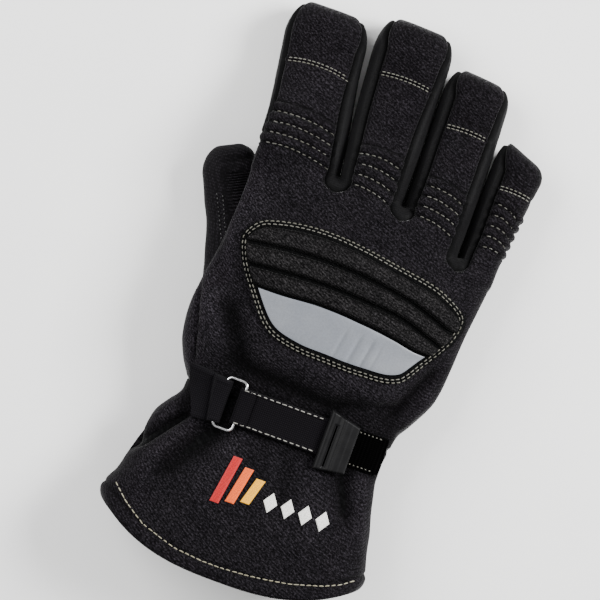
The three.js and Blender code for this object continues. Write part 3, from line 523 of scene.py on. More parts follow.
# Every sheet is cut from those grids. The index strip starts a few rows above the palm's seam.
SIDE_STRIP_FROM = 6
grids = {"back_panel": [(hand_grid(True), False)], "palm_panel": [(hand_grid(False), True)]}
for k, finger in enumerate(FINGERS):
    foot, grid = BACKS[k]
    seam = FORMS[k]["seam"]
    grids["back_panel"].append((np.concatenate([foot, grid[: seam + 1]]), False))
    grids["tip_cap_" + finger["name"]] = [(grid[seam:], False)]
    grids["palm_panel"].append((np.concatenate(UNDERS[k]), True))
for k in range(3):
    name = "fourchette_" + FINGERS[k]["name"] + "_" + FINGERS[k + 1]["name"]
    grids[name] = [(strip_grid(k), True)]
grids["index_side_strip"] = [(np.array(finger_strip(0, "left")[SIDE_STRIP_FROM:]), True)]
grids["cuff_back"] = [(cuff_grid(True), False)]
grids["cuff_palm"] = [(cuff_grid(False), True)]


def faces_of(ids, flip):
    quads = np.stack([ids[:-1, :-1], ids[:-1, 1:], ids[1:, 1:], ids[1:, :-1]], -1).reshape(-1, 4)
    return quads[:, ::-1] if flip else quads


def tidy_faces(quads):
    kept = []
    for quad in quads.tolist():
        corners = [v for i, v in enumerate(quad) if v != quad[i - 1]]
        if len(corners) == len(set(corners)) > 2:
            kept.append(corners)
    return kept


def edges_of(faces):
    pairs = [(face[i - 1], face[i]) for face in faces for i in range(len(face))]
    return np.array(pairs)


def open_edges(faces):
    pairs = set(map(tuple, edges_of(faces)))
    return np.array([pair for pair in pairs if (pair[1], pair[0]) not in pairs])


def relax(points, faces, rounds, held):
    a, b = np.unique(np.sort(edges_of(faces), axis=1), axis=0).T
    count = np.bincount(np.concatenate([a, b]), minlength=len(points))[:, None]
    for _ in range(rounds):
        near = [
            np.bincount(a, points[b, k], len(points)) + np.bincount(b, points[a, k], len(points))
            for k in range(3)
        ]
        moved = mix(points, np.stack(near, -1) / count, 0.5)
        points = np.where(held[:, None], points, moved)
    return points


def four_corners(faces):
    return np.array([face if len(face) == 4 else [*face, face[2]] for face in faces])


def unit(vectors):
    return vectors / np.maximum(np.linalg.norm(vectors, axis=1), 1e-9)[:, None]


def normals_of(points, faces):
    normals = np.zeros_like(points)
    corners = four_corners(faces)
    a, b, c, d = (points[corners[:, k]] for k in range(4))
    facing = np.cross(c - a, d - b)
    for k in range(4):
        for axis in range(3):
            normals[:, axis] += np.bincount(corners[:, k], facing[:, axis], len(points))
    return unit(normals)


# All sheets are first joined at their shared seams, so that the form is smooth across them.
WELD_STEPS = 200
SMOOTHINGS = 10
flat_grids = [(name, grid, flip) for name in grids for grid, flip in grids[name]]
all_points = np.concatenate([grid.reshape(-1, 3) for _, grid, _ in flat_grids])
rounded = np.round(all_points * WELD_STEPS).astype(int)
_, kept, ids = np.unique(rounded, axis=0, return_index=True, return_inverse=True)
ids = ids.ravel()
form_points = all_points[kept]
cut_faces = {}
start = 0
for name, grid, flip in flat_grids:
    stop = start + grid.shape[0] * grid.shape[1]
    quads = faces_of(ids[start:stop].reshape(grid.shape[:2]), flip)
    cut_faces.setdefault(name, []).extend(tidy_faces(quads))
    start = stop
form_faces = [face for faces in cut_faces.values() for face in faces]
hem_line = open_edges(form_faces).ravel()
held = np.zeros(len(form_points), bool)
held[hem_line[form_points[hem_line, 1] < HEM_SIDE]] = True
form_points = relax(form_points, form_faces, SMOOTHINGS, held)
form_points[:, 2] = np.maximum(form_points[:, 2], 0)

# The seams of the fingertip caps are bowed towards the tips.
CAP_BOWS = [3.0, 1.9, 1.6, 1.2]
CAP_BOW_REACH = 9


def cap_bow(k, x, y):
    finger = FINGERS[k]
    left = read(finger["sides"], "left", y / GLOVE_LENGTH) * PALM_WIDTH
    right = read(finger["sides"], "right", y / GLOVE_LENGTH) * PALM_WIDTH
    t = (x - left) / (right - left)
    away = (y - finger["cap"] * GLOVE_LENGTH) / CAP_BOW_REACH
    return CAP_BOWS[k] * np.clip(1 - (2 * t - 1) ** 2, 0, 1) * np.exp(-(away**2))


form_points[:, 1] += sum(cap_bow(k, form_points[:, 0], form_points[:, 1]) for k in range(4))
form_normals = normals_of(form_points, form_faces)

# Heights of the cloth over the table, on a grid of one millimetre. Everything that is laid on
# the back of the glove is set on such a map.
MAP_LOW = (-78, -125)
MAP_SIZE = (160, 275)
MAP_ABOVE = 200
SLOPE_STEP = 1.5


def heights_of(tree, softly):
    heights = np.zeros(MAP_SIZE)
    for i in range(MAP_SIZE[0]):
        for j in range(MAP_SIZE[1]):
            above = Vector((MAP_LOW[0] + i, MAP_LOW[1] + j, MAP_ABOVE))
            hit = tree.ray_cast(above, Vector((0, 0, -1)))[0]
            heights[i, j] = hit.z if hit else 0
    for _ in range(softly):
        wide = np.pad(heights, 1, mode="edge")
        heights = (wide[:-2, 1:-1] + wide[2:, 1:-1] + wide[1:-1, :-2] + wide[1:-1, 2:] + 2 * heights) / 6
    return heights


def height_at(heights, x, y):
    u = np.clip(np.asarray(x, float) - MAP_LOW[0], 0, MAP_SIZE[0] - 1.001)
    v = np.clip(np.asarray(y, float) - MAP_LOW[1], 0, MAP_SIZE[1] - 1.001)
    i, j = u.astype(int), v.astype(int)
    s, t = u - i, v - j
    low = mix(heights[i, j], heights[i + 1, j], s)
    return mix(low, mix(heights[i, j + 1], heights[i + 1, j + 1], s), t)


def laid(heights, x, y, lift):
    x, y = np.broadcast_arrays(np.asarray(x, float), np.asarray(y, float))
    step = SLOPE_STEP
    slope_x = (height_at(heights, x + step, y) - height_at(heights, x - step, y)) / (2 * step)
    slope_y = (height_at(heights, x, y + step) - height_at(heights, x, y - step)) / (2 * step)
    normal = np.stack([-slope_x, -slope_y, np.ones_like(slope_x)], -1)
    normal /= np.linalg.norm(normal, axis=-1)[..., None]
    return np.stack([x, y, height_at(heights, x, y)], -1) + normal * np.asarray(lift, float)[..., None]


form_heights = heights_of(BVHTree.FromPolygons(form_points.tolist(), form_faces), 1)


# The back of the hand and fingers: one sheet of thick black felt-like cloth, woven in a fine
# twill and heathered with paler hairs. Its edges are turned in at the seams, and across each
# finger rows of stitches draw the padding under the cloth into ribs.
WALL = 2.6
SEAM_GAP = 0.3
SEAM_BEVEL = 1.5
SEAM_DIP = 1.3
SEAM_SOFT = 2.0
SEAM_SHADE = 0.75
SEAM_SHADE_REACH = 1.6
FLAT_SEAM = 0.25
WRIST_SEAM = 3
HEM_TURNS = [30, 60, 90, 120, 150]
DARKEST = 0.15
FOLD_TONE = 0.4
FOLD_TONES = (0.28, 1.25)
PAINTED_STRAP_SHADOW = 0.4
PAINTED_THUMB_SIDE_LIGHT = 0.75
SHADOW_TONE = 0.42
FINGER_TONE = 0.13
BACK_WAVES = [
    # height, size, seed
    (0.45, 26, 3), (0.2, 9, 11),
]
RIB_PUFF = 1.7
RIB_CREASE = 0.2
ROW_ARC = 1.9
RIBS = table_of("left right top_left top_right foot_left foot_right rows", [
    (-49, -18, 80.6, 78, 65.8, 63.4, 4),
    (-8.2, 14.1, 75.2, 73.8, 61, 57, 4),
    (21.3, 43, 71.6, 69.7, 57.4, 54.6, 4),
    (55.5, 69, 75, 71.3, 54.4, 53.1, 5),
])
FOLDS = [
    # from x, from y, to x, to y, half width, height
    (-40, -8, -26, -30, 4.5, -2.2),
    (-27, -31, 20, -36, 3.4, -1.8),
    (-14, -23, 34, -22, 4.0, 1.0),
    (20, -34, 46, -26, 2.6, -1.6),
    (46, -30, 58, -4, 2.8, -1.8),
    (36, -28, 49, -6, 3.0, 1.1),
    (52, -34, 60, -18, 2.4, 1.0),
    (-49, -10, -37, -30, 3.5, 1.3),
    (-54, -6, -46, -37, 0.9, -1.4),
    (-25, -61, -44, -87, 5.5, -2.6),
    (-14, -62, -24, -94, 5.0, 1.0),
    (-36, -58, -52, -92, 4.0, 1.2),
    (-58, -80, -39, -58, 2.2, -4.0),
    (-61, -74, -45, -56, 3.0, 1.8),
    (33, -60, 43, -80, 3.4, -2.4),
    (42, -60, 51, -88, 3.0, 1.1),
    (22, -64, 30, -94, 5, 0.9),
    (8, -61, 14, -86, 4, -1.0),
    (-4, -61, -2, -84, 5, -0.6),
    (-55, 24, -47, 0, 3, -0.6),
]


def beside(x, y, start, end):
    run = np.array([end[0] - start[0], end[1] - start[1]], float)
    length = math.hypot(*run)
    along = ((x - start[0]) * run[0] + (y - start[1]) * run[1]) / length**2
    off = ((x - start[0]) * run[1] - (y - start[1]) * run[0]) / length
    return along, off


def folds(x, y):
    total = 0
    for from_x, from_y, to_x, to_y, half, height in FOLDS:
        along, off = beside(x, y, (from_x, from_y), (to_x, to_y))
        shown = ease(-0.3, 0.15, along) * (1 - ease(0.8, 1.3, along))
        total = total + height * np.exp(-((off / half) ** 2)) * shown
    return total * loose(x, y)


# Painted shade in the valleys of the folds and painted light on their ridges.
def fold_shade(drape):
    return np.clip(1 + FOLD_TONE * drape, *FOLD_TONES)


# The strap holds the cloth flat under it.
STRAP_Y = -0.184 * GLOVE_LENGTH
STRAP_WIDTH = 17


def loose(x, y):
    away = np.abs(y - STRAP_Y) / (STRAP_WIDTH / 2)
    return 1 - (1 - ease(0.95, 1.5, away)) * ease(-47, -43, x)


def crumple(points, waves):
    total = 0
    for height, size, seed in waves:
        shift = Vector((seed, 2 * seed, 3 * seed))
        wave = [noise.noise(Vector(point) / size + shift) for point in points.tolist()]
        total = total + height * np.array(wave)
    return total


# Painted shadow of the strap on the cloth it holds flat.
def painted_strap_shadow(x, y):
    return PAINTED_STRAP_SHADOW + (1 - PAINTED_STRAP_SHADOW) * loose(x, y)


# Each finger lies between two forks, and the outer two reach past the sides of the hand.
FINGER_EDGES = [-200, *[fork[0] for fork in FORKS], 200]


def ribs(x, y):
    puffs, shades = np.zeros_like(x), np.ones_like(x)
    for k in range(4):
        row = {name: RIBS[name][k] for name in RIBS}
        t = (x - row["left"]) / (row["right"] - row["left"])
        arc = ROW_ARC * np.clip(1 - (2 * t - 1) ** 2, -0.3, 1)
        top = mix(row["top_left"], row["top_right"], t) + arc
        foot = mix(row["foot_left"], row["foot_right"], t) + arc
        place = (top - y) / (top - foot) * (row["rows"] - 1)
        puff = np.abs(np.sin(math.pi * place)) ** 0.6 - 0.4
        shown = ease(-0.95, -0.8, place) * (1 - ease(row["rows"] - 1.0, row["rows"] - 0.6, place))
        here = (x > FINGER_EDGES[k]) & (x <= FINGER_EDGES[k + 1])
        puffs += np.where(here, puff * shown, 0)
        # Painted shade in a narrow crease along each row of stitches.
        off = np.abs(place - np.round(place))
        crease = np.exp(-((off / RIB_CREASE) ** 2)) * ease(-1.15, -1.0, place)
        crease = crease * (1 - ease(row["rows"] - 0.9, row["rows"] - 0.6, place))
        shades = np.where(here, shades * (1 - 0.8 * crease), shades)
    return puffs * RIB_PUFF, shades


def between(outer, inner, faces, turns=()):
    shift = len(outer)
    all_faces = list(faces) + [[v + shift for v in face[::-1]] for face in faces]
    pairs = open_edges(faces)
    shifts = [0, *[shift * (2 + k) for k in range(len(turns))], shift]
    for low, high in zip(shifts[:-1], shifts[1:]):
        all_faces += [[b + low, a + low, a + high, b + high] for a, b in pairs.tolist()]
    return np.concatenate([outer, inner, *turns]), all_faces


# The caps are lapped over the back at a flat seam, so the cloth hardly dips along it.
flat_seams = np.zeros(len(form_points), bool)
on_back = np.zeros(len(form_points), bool)
on_back[[v for face in cut_faces["back_panel"] for v in face]] = True
for finger in FINGERS:
    flat_seams[[v for face in cut_faces["tip_cap_" + finger["name"]] for v in face]] = True
flat_seams &= on_back


def tree_of(points):
    tree = KDTree(len(points))
    for k, point in enumerate(points.tolist()):
        tree.insert(point, k)
    tree.balance()
    return tree


# The way into a sheet from its open edge lies in the cloth, square to that edge.
def way_in(points, normals, faces, pairs):
    pull = np.zeros_like(points)
    corners = four_corners(faces)
    middles = points[corners].mean(1)
    for k in range(4):
        np.add.at(pull, corners[:, k], middles - points[corners[:, k]])
    along = np.zeros_like(points)
    run = unit(points[pairs[:, 1]] - points[pairs[:, 0]])
    np.add.at(along, pairs[:, 0], run)
    np.add.at(along, pairs[:, 1], run)
    along = unit(along)
    pull -= along * (pull * along).sum(1)[:, None]
    pull -= normals * (pull * normals).sum(1)[:, None]
    on_rim = np.zeros(len(points), bool)
    on_rim[pairs.ravel()] = True
    return unit(np.where(on_rim[:, None], pull, 0)), on_rim


# A sheet has its own outer and inner face, a turned-in edge at each seam, and at the hem, where
# there is one, a round fold from one face to the other.
def sewn_sheet(name, finishes, detail, wall=WALL, hem=0.0, bevel=SEAM_BEVEL, dip=SEAM_DIP):
    used = np.unique(np.array([v for face in cut_faces[name] for v in face]))
    local = {v: k for k, v in enumerate(used.tolist())}
    faces = [[local[v] for v in face] for face in cut_faces[name]]
    points, normals = form_points[used], form_normals[used]
    pairs = open_edges(faces)
    rim = np.unique(pairs)
    edge_tree = tree_of(points[rim])
    found = [edge_tree.find(point) for point in points.tolist()]
    reach = np.array([hit[2] for hit in found])
    nearest = np.array([hit[1] for hit in found])
    pull, on_rim = way_in(points, normals, faces, pairs)
    if hem:
        folded = on_rim & (points[:, 1] < HEM_SIDE)
        close = WRIST - points[:, 1]
        seam = 1.0
    else:
        folded = np.zeros(len(points), bool)
        close = reach
        seam = np.where(flat_seams[used[rim]][nearest], FLAT_SEAM, 1.0)
    relief, tone = detail(points, reach)
    lift = relief - dip * seam * (1 - ease(0, SEAM_SOFT, close))
    # Painted shade along the seams, with less of it at the flat seams of the caps.
    tone = tone * (1 - SEAM_SHADE * seam * (1 - ease(0, SEAM_SHADE_REACH, close)))
    gap = np.where(np.abs(points[:, 1] - WRIST) < WRIST_SEAM, 0, SEAM_GAP / 2)
    outer = points + normals * np.asarray(lift)[:, None] + pull * np.where(folded, hem, gap)[:, None]
    outer[:, 2] = np.maximum(outer[:, 2], 0)
    inner = points - normals * wall + pull * np.where(folded, hem, bevel)[:, None]
    turns = []
    if hem:
        middle = (outer + inner) / 2
        outward = pull * np.where(folded, hem, 0)[:, None]
        for turn in np.radians(HEM_TURNS):
            turns.append(middle + (outer - middle) * math.cos(turn) - outward * math.sin(turn))
    count = len(faces)
    points, faces = between(outer, inner, faces, turns)
    worn = np.zeros(len(faces), int)
    worn[count : 2 * count] = len(finishes) - 1
    tone = np.resize(np.maximum(tone, DARKEST), len(points))
    piece = piece_from(name + "_cloth", points, faces, finishes, worn, tone)
    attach(piece, "root")
    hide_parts(name)
    return piece


# A wave texture repeats once in this length over its scale.
WAVE = 0.314


def place_of(tree):
    return node(tree, "ShaderNodeTexCoord").outputs["Object"]


def grain_of(tree, place, size, detail, **more):
    values = {"Scale": 1 / (size * MM), "Detail": detail, **more}
    return node(tree, "ShaderNodeTexNoise", values, {"Vector": place}).outputs["Fac"]


def laid_over(tree, under, over):
    made = node(
        tree, "ShaderNodeMix", {0: 1.0}, {6: under, 7: over},
        data_type="RGBA", blend_type="MULTIPLY",
    )
    return made.outputs[2]


# Multiplies a colour by the point attribute "tone", which holds the painted shade and painted light of the
# piece.
def with_painted_shading(tree, colour):
    shade = node(tree, "ShaderNodeAttribute", attribute_name="tone")
    return laid_over(tree, colour, shade.outputs["Fac"])


def worked_out(tree, operation, links, values=None):
    return node(tree, "ShaderNodeMath", values, links, operation=operation).outputs[0]


def embossed(tree, shader, height, strength, depth):
    bump = node(
        tree, "ShaderNodeBump",
        {"Strength": strength, "Distance": depth * MM},
        {"Height": height},
    )
    tree.links.new(bump.outputs["Normal"], shader.inputs["Normal"])


def worn_between(tree, shader, grain, smooth, rough):
    made = node(tree, "ShaderNodeMapRange", {"To Min": smooth, "To Max": rough}, {"Value": grain})
    tree.links.new(made.outputs["Result"], shader.inputs["Roughness"])


def shell_cloth(name, dark, middle, pale, twill, hair, fuzz=0.14):
    finish, tree, shader = new_finish(
        name, middle, 0.95, Specular_IOR_Level=0.04, Sheen_Weight=fuzz, Sheen_Roughness=0.28
    )
    place = place_of(tree)
    turned = node(
        tree, "ShaderNodeMapping",
        {"Rotation": (0, 0, math.radians(-20))},
        {"Vector": place},
    )
    weave = node(
        tree, "ShaderNodeTexWave",
        {"Scale": WAVE / (twill * MM), "Distortion": 3.5, "Detail": 3.0, "Detail Scale": 2.5},
        {"Vector": turned.outputs["Vector"]},
        bands_direction="DIAGONAL",
    ).outputs["Fac"]
    drawn = node(
        tree, "ShaderNodeMapping",
        {"Rotation": (0, 0, math.radians(-25)), "Scale": (1.8, 1, 1)},
        {"Vector": place},
        vector_type="TEXTURE",
    )
    hairs = grain_of(tree, drawn.outputs["Vector"], hair, 5.0, Roughness=0.7)
    patches = grain_of(tree, place, 14, 3.0)
    speckle = ramp(tree, hairs, [(0.38, dark), (0.5, middle), (0.64, pale)])
    lines = ramp(tree, weave, [(0.1, (0.55, 0.55, 0.55)), (0.8, (1, 1, 1))])
    wear = ramp(tree, patches, [(0.3, (0.72, 0.72, 0.74)), (0.7, (1, 1, 1))])
    woven = laid_over(tree, laid_over(tree, speckle, lines), wear)
    tree.links.new(with_painted_shading(tree, woven), shader.inputs["Base Color"])
    ridges = worked_out(tree, "MULTIPLY", {0: weave}, {1: 0.45})
    relief = worked_out(tree, "ADD", {0: ridges, 1: hairs})
    embossed(tree, shader, relief, 0.55, 0.5)
    return finish


felt = shell_cloth(
    "black_felt_twill",
    (0.0012, 0.001, 0.0013), (0.0053, 0.0046, 0.0056), (0.0255, 0.0225, 0.027),
    twill=0.95, hair=0.6,
)
lining = shell_cloth(
    "lining_fleece",
    (0.003, 0.003, 0.0035), (0.006, 0.006, 0.0065), (0.015, 0.015, 0.016),
    twill=2.2, hair=0.9,
)


# Painted shade and painted light on the pile: darker in the valleys of the folds and paler on their ridges,
# a painted shadow under the strap and just above it, and painted light on the thumb side of the hand. The
# pile is also darker over the middle, ring and little fingers.
def back_detail(points, reach):
    x, y = points[:, 0], points[:, 1]
    soft = crumple(points, BACK_WAVES) * loose(x, y)
    puffs, shades = ribs(x, y)
    drape = folds(x, y)
    # Painted shadow in a band just above the strap.
    above_strap = np.exp(-(((y - STRAP_Y - 14) / 7) ** 2)) * ease(-40, -25, x)
    shades = shades * fold_shade(drape) * painted_strap_shadow(x, y)
    # Painted light on the thumb side of the hand.
    shades = shades * (1 + PAINTED_THUMB_SIDE_LIGHT * (1 - ease(-56, -32, x)) * (1 - ease(40, 60, y)))
    shades = shades * (1 - SHADOW_TONE * above_strap)
    shades = shades * (1 - FINGER_TONE * ease(-14, -4, x) * ease(56, 76, y))
    return puffs * ease(0, 1.8, reach) + drape + soft, shades


back = sewn_sheet("back_panel", [felt, lining], back_detail)

# The four fingertip caps: the same felt, wrapped over the end of each finger. A cap is lapped
# over the back panel at a flat seam, which two rows of stitches hold down.
CAP_CUTS = [
    (0.036, 0.036, 0.0012), (0.032, 0.034, 0.00098),
    (0.028, 0.034, 0.00082), (0.026, 0.028, 0.00062),
]
CAP_SWELL = 0.15
CAP_WAVES = [(0.3, 12, 5)]
CAP_TONE = 0.9


def cap_detail(points, reach):
    relief = CAP_SWELL * ease(0.5, 4, reach) + crumple(points, CAP_WAVES)
    return relief, CAP_TONE - 0.16 * ease(-20, 0, points[:, 0])


for finger, (wide, long, area) in zip(FINGERS, CAP_CUTS):
    cap = sewn_sheet("tip_cap_" + finger["name"], [felt, lining], cap_detail)

# The strips between the fingers and down the outside of the index finger: smooth black
# knit, sewn on both edges and rolled outwards between the seams.
ROLL = 0.75
STRIP_SINK = 0.35
STRIP_DIP = 1.5
STRIP_WAVES = [(0.15, 8, 7)]


def knit_cloth(name, dark, middle, pale, pitch, gloss, depth):
    finish, tree, shader = new_finish(
        name, middle, gloss, Specular_IOR_Level=0.05, Sheen_Weight=0.03, Sheen_Roughness=0.4
    )
    place = place_of(tree)
    stretch = node(tree, "ShaderNodeMapping", {"Scale": (1, 0.6, 1)}, {"Vector": place})
    loops = node(
        tree, "ShaderNodeTexVoronoi",
        {"Scale": 1 / (pitch * MM), "Randomness": 0.35},
        {"Vector": stretch.outputs["Vector"]},
    ).outputs["Distance"]
    fine = grain_of(tree, place, 0.5, 4.0)
    patches = grain_of(tree, place, 9, 2.0)
    tone = ramp(tree, loops, [(0.1, pale), (0.45, middle), (0.8, dark)])
    wear = ramp(tree, patches, [(0.3, (0.75, 0.75, 0.76)), (0.7, (1, 1, 1))])
    tree.links.new(with_painted_shading(tree, laid_over(tree, tone, wear)), shader.inputs["Base Color"])
    worn_between(tree, shader, fine, gloss - 0.1, gloss + 0.1)
    hollows = worked_out(tree, "MULTIPLY", {0: loops}, {1: -1.0})
    relief = worked_out(tree, "MULTIPLY_ADD", {0: fine, 2: hollows}, {1: 0.3})
    embossed(tree, shader, relief, 0.5, depth)
    return finish


strip_knit = knit_cloth(
    "smooth_strip_knit",
    (0.002, 0.0019, 0.0021), (0.0041, 0.004, 0.0043), (0.007, 0.0068, 0.0073),
    pitch=0.6, gloss=0.64, depth=0.12,
)


# Painted shade and painted light: each strip is darker towards its seams and paler along the crown of its
# roll.
def strip_detail(points, reach):
    roll = ease(0.3, 2.6, reach)
    return ROLL * roll - STRIP_SINK + crumple(points, STRIP_WAVES), 0.45 + 0.75 * roll


STRIP_CUTS = [
    ("fourchette_index_middle", 0.03, 0.17, 0.0033, "folded"),
    ("fourchette_middle_ring", 0.03, 0.175, 0.0034, "folded"),
    ("fourchette_ring_little", 0.03, 0.17, 0.0033, "folded"),
    ("index_side_strip", 0.024, 0.066, 0.0009, "laid"),
]
for name, wide, long, area, held in STRIP_CUTS:
    strip = sewn_sheet(name, [strip_knit, lining], strip_detail, dip=STRIP_DIP)

# The palm side: one sheet of coarse grip knit under the hand and all four fingers, quilted in
# rows across the finger pads and in a fan across the heel of the hand.
QUILT_PITCH = 5.0
QUILT_DEPTH = 0.7
QUILT_FROM = 0.28
FAN = {"x": -34, "y": -48, "first": 26, "step": 8.5, "count": 7, "from": 22, "to": 62}


def quilt_rows(finger):
    low = mix(finger["base"][0], finger["round"], QUILT_FROM) * GLOVE_LENGTH
    high = finger["round"] * GLOVE_LENGTH
    return np.arange(low, high, QUILT_PITCH)


def fan_lines():
    lines = []
    for k in range(FAN["count"]):
        angle = math.radians(FAN["first"] + FAN["step"] * k)
        way = np.array([math.cos(angle), math.sin(angle)])
        start = np.array([FAN["x"], FAN["y"]])
        lines.append((start + way * FAN["from"], start + way * FAN["to"]))
    return lines


def furrow(off, half):
    return -np.exp(-((off / half) ** 2))


def palm_detail(points, reach):
    x, y = points[:, 0], points[:, 1]
    total = np.zeros(len(points))
    for k, finger in enumerate(FINGERS):
        here = (x > FINGER_EDGES[k]) & (x <= FINGER_EDGES[k + 1])
        for row in quilt_rows(finger):
            total += np.where(here, furrow(y - row, 0.9) * ease(2, 4, reach), 0)
    for start, end in fan_lines():
        along, off = beside(x, y, start, end)
        total += furrow(off, 1.0) * ease(-0.03, 0.03, along) * (1 - ease(0.97, 1.03, along))
    total = np.clip(total, -1, 0)
    # The tone is painted shade in the quilted furrows.
    return total * QUILT_DEPTH, 1 + 0.5 * total


grip = knit_cloth(
    "grip_knit",
    (0.0014, 0.0013, 0.0015), (0.004, 0.0037, 0.0042), (0.016, 0.015, 0.0165),
    pitch=1.2, gloss=0.6, depth=0.5,
)
palm = sewn_sheet("palm_panel", [grip, lining], palm_detail, dip=0.8)

# The cuff: two halves of the same felt, flaring from the strap to the hem. The hem is turned
# in and held by one row of stitches, which leaves a thick soft roll along the edge.
HEM_WIDTH = 7.2
HEM_PUFF = 0.9
HEM_SINK = 0.55
HEM_FOLD = 1.3
CUFF_DIP = 0.6
CUFF_WAVES = [(0.9, 24, 17), (0.25, 8, 23)]
UPPER_SIDE = 14


def cuff_detail(points, reach):
    x, y = points[:, 0], points[:, 1]
    rim = np.array(form_points[hem_line])
    edge_tree = tree_of(rim[rim[:, 1] < HEM_SIDE])
    from_hem = np.array([edge_tree.find(point)[2] for point in points.tolist()])
    roll = HEM_PUFF * np.sin(math.pi * np.clip(from_hem / HEM_WIDTH, 0, 1)) ** 0.7
    row = -HEM_SINK * np.exp(-(((from_hem - HEM_WIDTH) / 0.9) ** 2))
    up = points[:, 2] > UPPER_SIDE
    soft = crumple(points, CUFF_WAVES) * loose(x, y)
    drape = np.where(up, folds(x, y), 0)
    # Painted shade: darker in the folds and paler on their ridges on the upper side, darker in the furrow
    # of the hem's row of stitches, and the strap's painted shadow on the upper side.
    shade = fold_shade(drape) * (1 - 0.5 * np.exp(-(((from_hem - HEM_WIDTH) / 0.8) ** 2)))
    shade = shade * np.where(up, painted_strap_shadow(x, y), 1)
    return roll + row + drape + soft * np.where(up, 1, 0.4), shade


CUFF_CUTS = [
    ("cuff_back", 0.14, 0.086, 0.0104, "cuff_palm"),
    ("cuff_palm", 0.135, 0.084, 0.0098, "table_top"),
]
for name, wide, long, area, under in CUFF_CUTS:
    cuff = sewn_sheet(name, [felt, lining], cuff_detail, hem=HEM_FOLD, dip=CUFF_DIP)

# The thumb: a sleeve of the finer knit, sewn into a tube and tucked under the raised index
# side of the palm. Its pad is quilted in close ribs, and two short rows of dark stitches
# hold its outer seam.
THUMB_HALF_HEIGHT = 9.2
THUMB_REACH = 13.5
THUMB_TIP_HALF = 0.028
THUMB_ROWS = 240
THUMB_SIDES = 72
THUMB_PATH = table_of("at x y half", [
    (0.0, -0.29, -0.085, 0.118),
    (0.2, -0.335, 0.0, 0.12),
    (0.4, -0.376, 0.06, 0.116),
    (0.6, -0.412, 0.109, 0.112),
    (0.8, -0.456, 0.15, 0.112),
    (1.0, -0.488, 0.18, 0.108),
])
THUMB_RIB_PITCH = 2.25
THUMB_RIB_DEPTH = 0.9
THUMB_LENGTH = 92
THUMB_PAD = (50, 57, 86, 92)
THUMB_WAVES = [(0.3, 10, 31)]
THUMB_TUCK = 0.2
THUMB_PINCH = 0.2
THUMB_RISE = 0.85


def thumb_centre(t):
    return np.array([read(THUMB_PATH, "x", t) * PALM_WIDTH, read(THUMB_PATH, "y", t) * GLOVE_LENGTH])


def thumb_row(t, close, reach, shrink):
    centre = thumb_centre(t)
    before = max(0, t - 0.02)
    way = thumb_centre(before + 0.04) - thumb_centre(before)
    way /= np.linalg.norm(way)
    half = mix(THUMB_TIP_HALF, read(THUMB_PATH, "half", t), close) * PALM_WIDTH - shrink
    tucked = 1 - ease(0, THUMB_TUCK, t)
    half = half * (1 - THUMB_PINCH * tucked)
    rise = (THUMB_HALF_HEIGHT + REST_SINK / 2) * close**TIP_FULLNESS - shrink
    angle = np.linspace(0, 2 * math.pi, THUMB_SIDES + 1)[:-1]
    across = max(half, 0.1) * power(np.cos(angle), ROUNDNESS)
    tall = power(np.sin(angle), ROUNDNESS)
    tall = np.where(tall < 0, tall * (1 - THUMB_RISE * tucked), tall)
    up = THUMB_HALF_HEIGHT + max(rise, 0.05) * tall
    x = centre[0] + way[1] * across + way[0] * reach
    y = centre[1] - way[0] * across + way[1] * reach
    return np.stack([x, y, np.maximum(up, shrink)], -1)


def thumb_grid(shrink):
    rows = [thumb_row(t, 1.0, 0.0, shrink) for t in np.linspace(0, 1, THUMB_ROWS + 1)]
    for turn in np.radians(np.linspace(0, 90, TIP_ROWS + 1)[1:]):
        rows.append(thumb_row(1.0, max(math.cos(turn), 0), (THUMB_REACH - shrink) * math.sin(turn), shrink))
    return np.array(rows)


def thumb_detail(grid):
    rows, sides = grid.shape[:2]
    length = np.arange(rows)[:, None] / rows * THUMB_LENGTH
    angle = np.linspace(0, 360, sides, endpoint=False)[None, :]
    pad = ease(*THUMB_PAD[:2], length) * (1 - ease(*THUMB_PAD[2:], length))
    side = ease(-20, 5, np.where(angle > 180, angle - 360, angle)) * (1 - ease(80, 100, angle))
    wave = np.abs(np.sin(math.pi * length / THUMB_RIB_PITCH)) ** 0.8
    # The tone is painted shade in the valleys between the pad's ribs, with a little painted light on their
    # crowns.
    return (wave - 0.5) * THUMB_RIB_DEPTH * pad * side, 1 + (1.1 * wave - 0.95) * pad * side


outer, inner = thumb_grid(0), thumb_grid(WALL)
ring_ids = np.arange(outer.shape[0] * outer.shape[1]).reshape(outer.shape[:2])
ring_ids = np.concatenate([ring_ids, ring_ids[:, :1]], 1)
thumb_faces = faces_of(ring_ids, True).tolist()
flat_outer, flat_inner = outer.reshape(-1, 3), inner.reshape(-1, 3)
thumb_normals = normals_of(flat_outer, thumb_faces)
quilt, quilt_tone = thumb_detail(outer)
soft = quilt.ravel() + crumple(flat_outer, THUMB_WAVES)
flat_outer = flat_outer + thumb_normals * soft[:, None]
flat_outer[:, 2] = np.maximum(flat_outer[:, 2], 0)
points, faces = between(flat_outer, flat_inner, thumb_faces)
thumb_knit = knit_cloth(
    "thumb_knit",
    (0.0009, 0.0007, 0.001), (0.0032, 0.0027, 0.0035), (0.0165, 0.0145, 0.0175),
    pitch=0.8, gloss=0.7, depth=0.3,
)
thumb_tone = np.resize(quilt_tone.ravel(), len(points))
thumb = piece_from("thumb_sleeve_cloth", points, faces, [thumb_knit], tone=thumb_tone)
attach(thumb, "root")
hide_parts("thumb_sleeve")

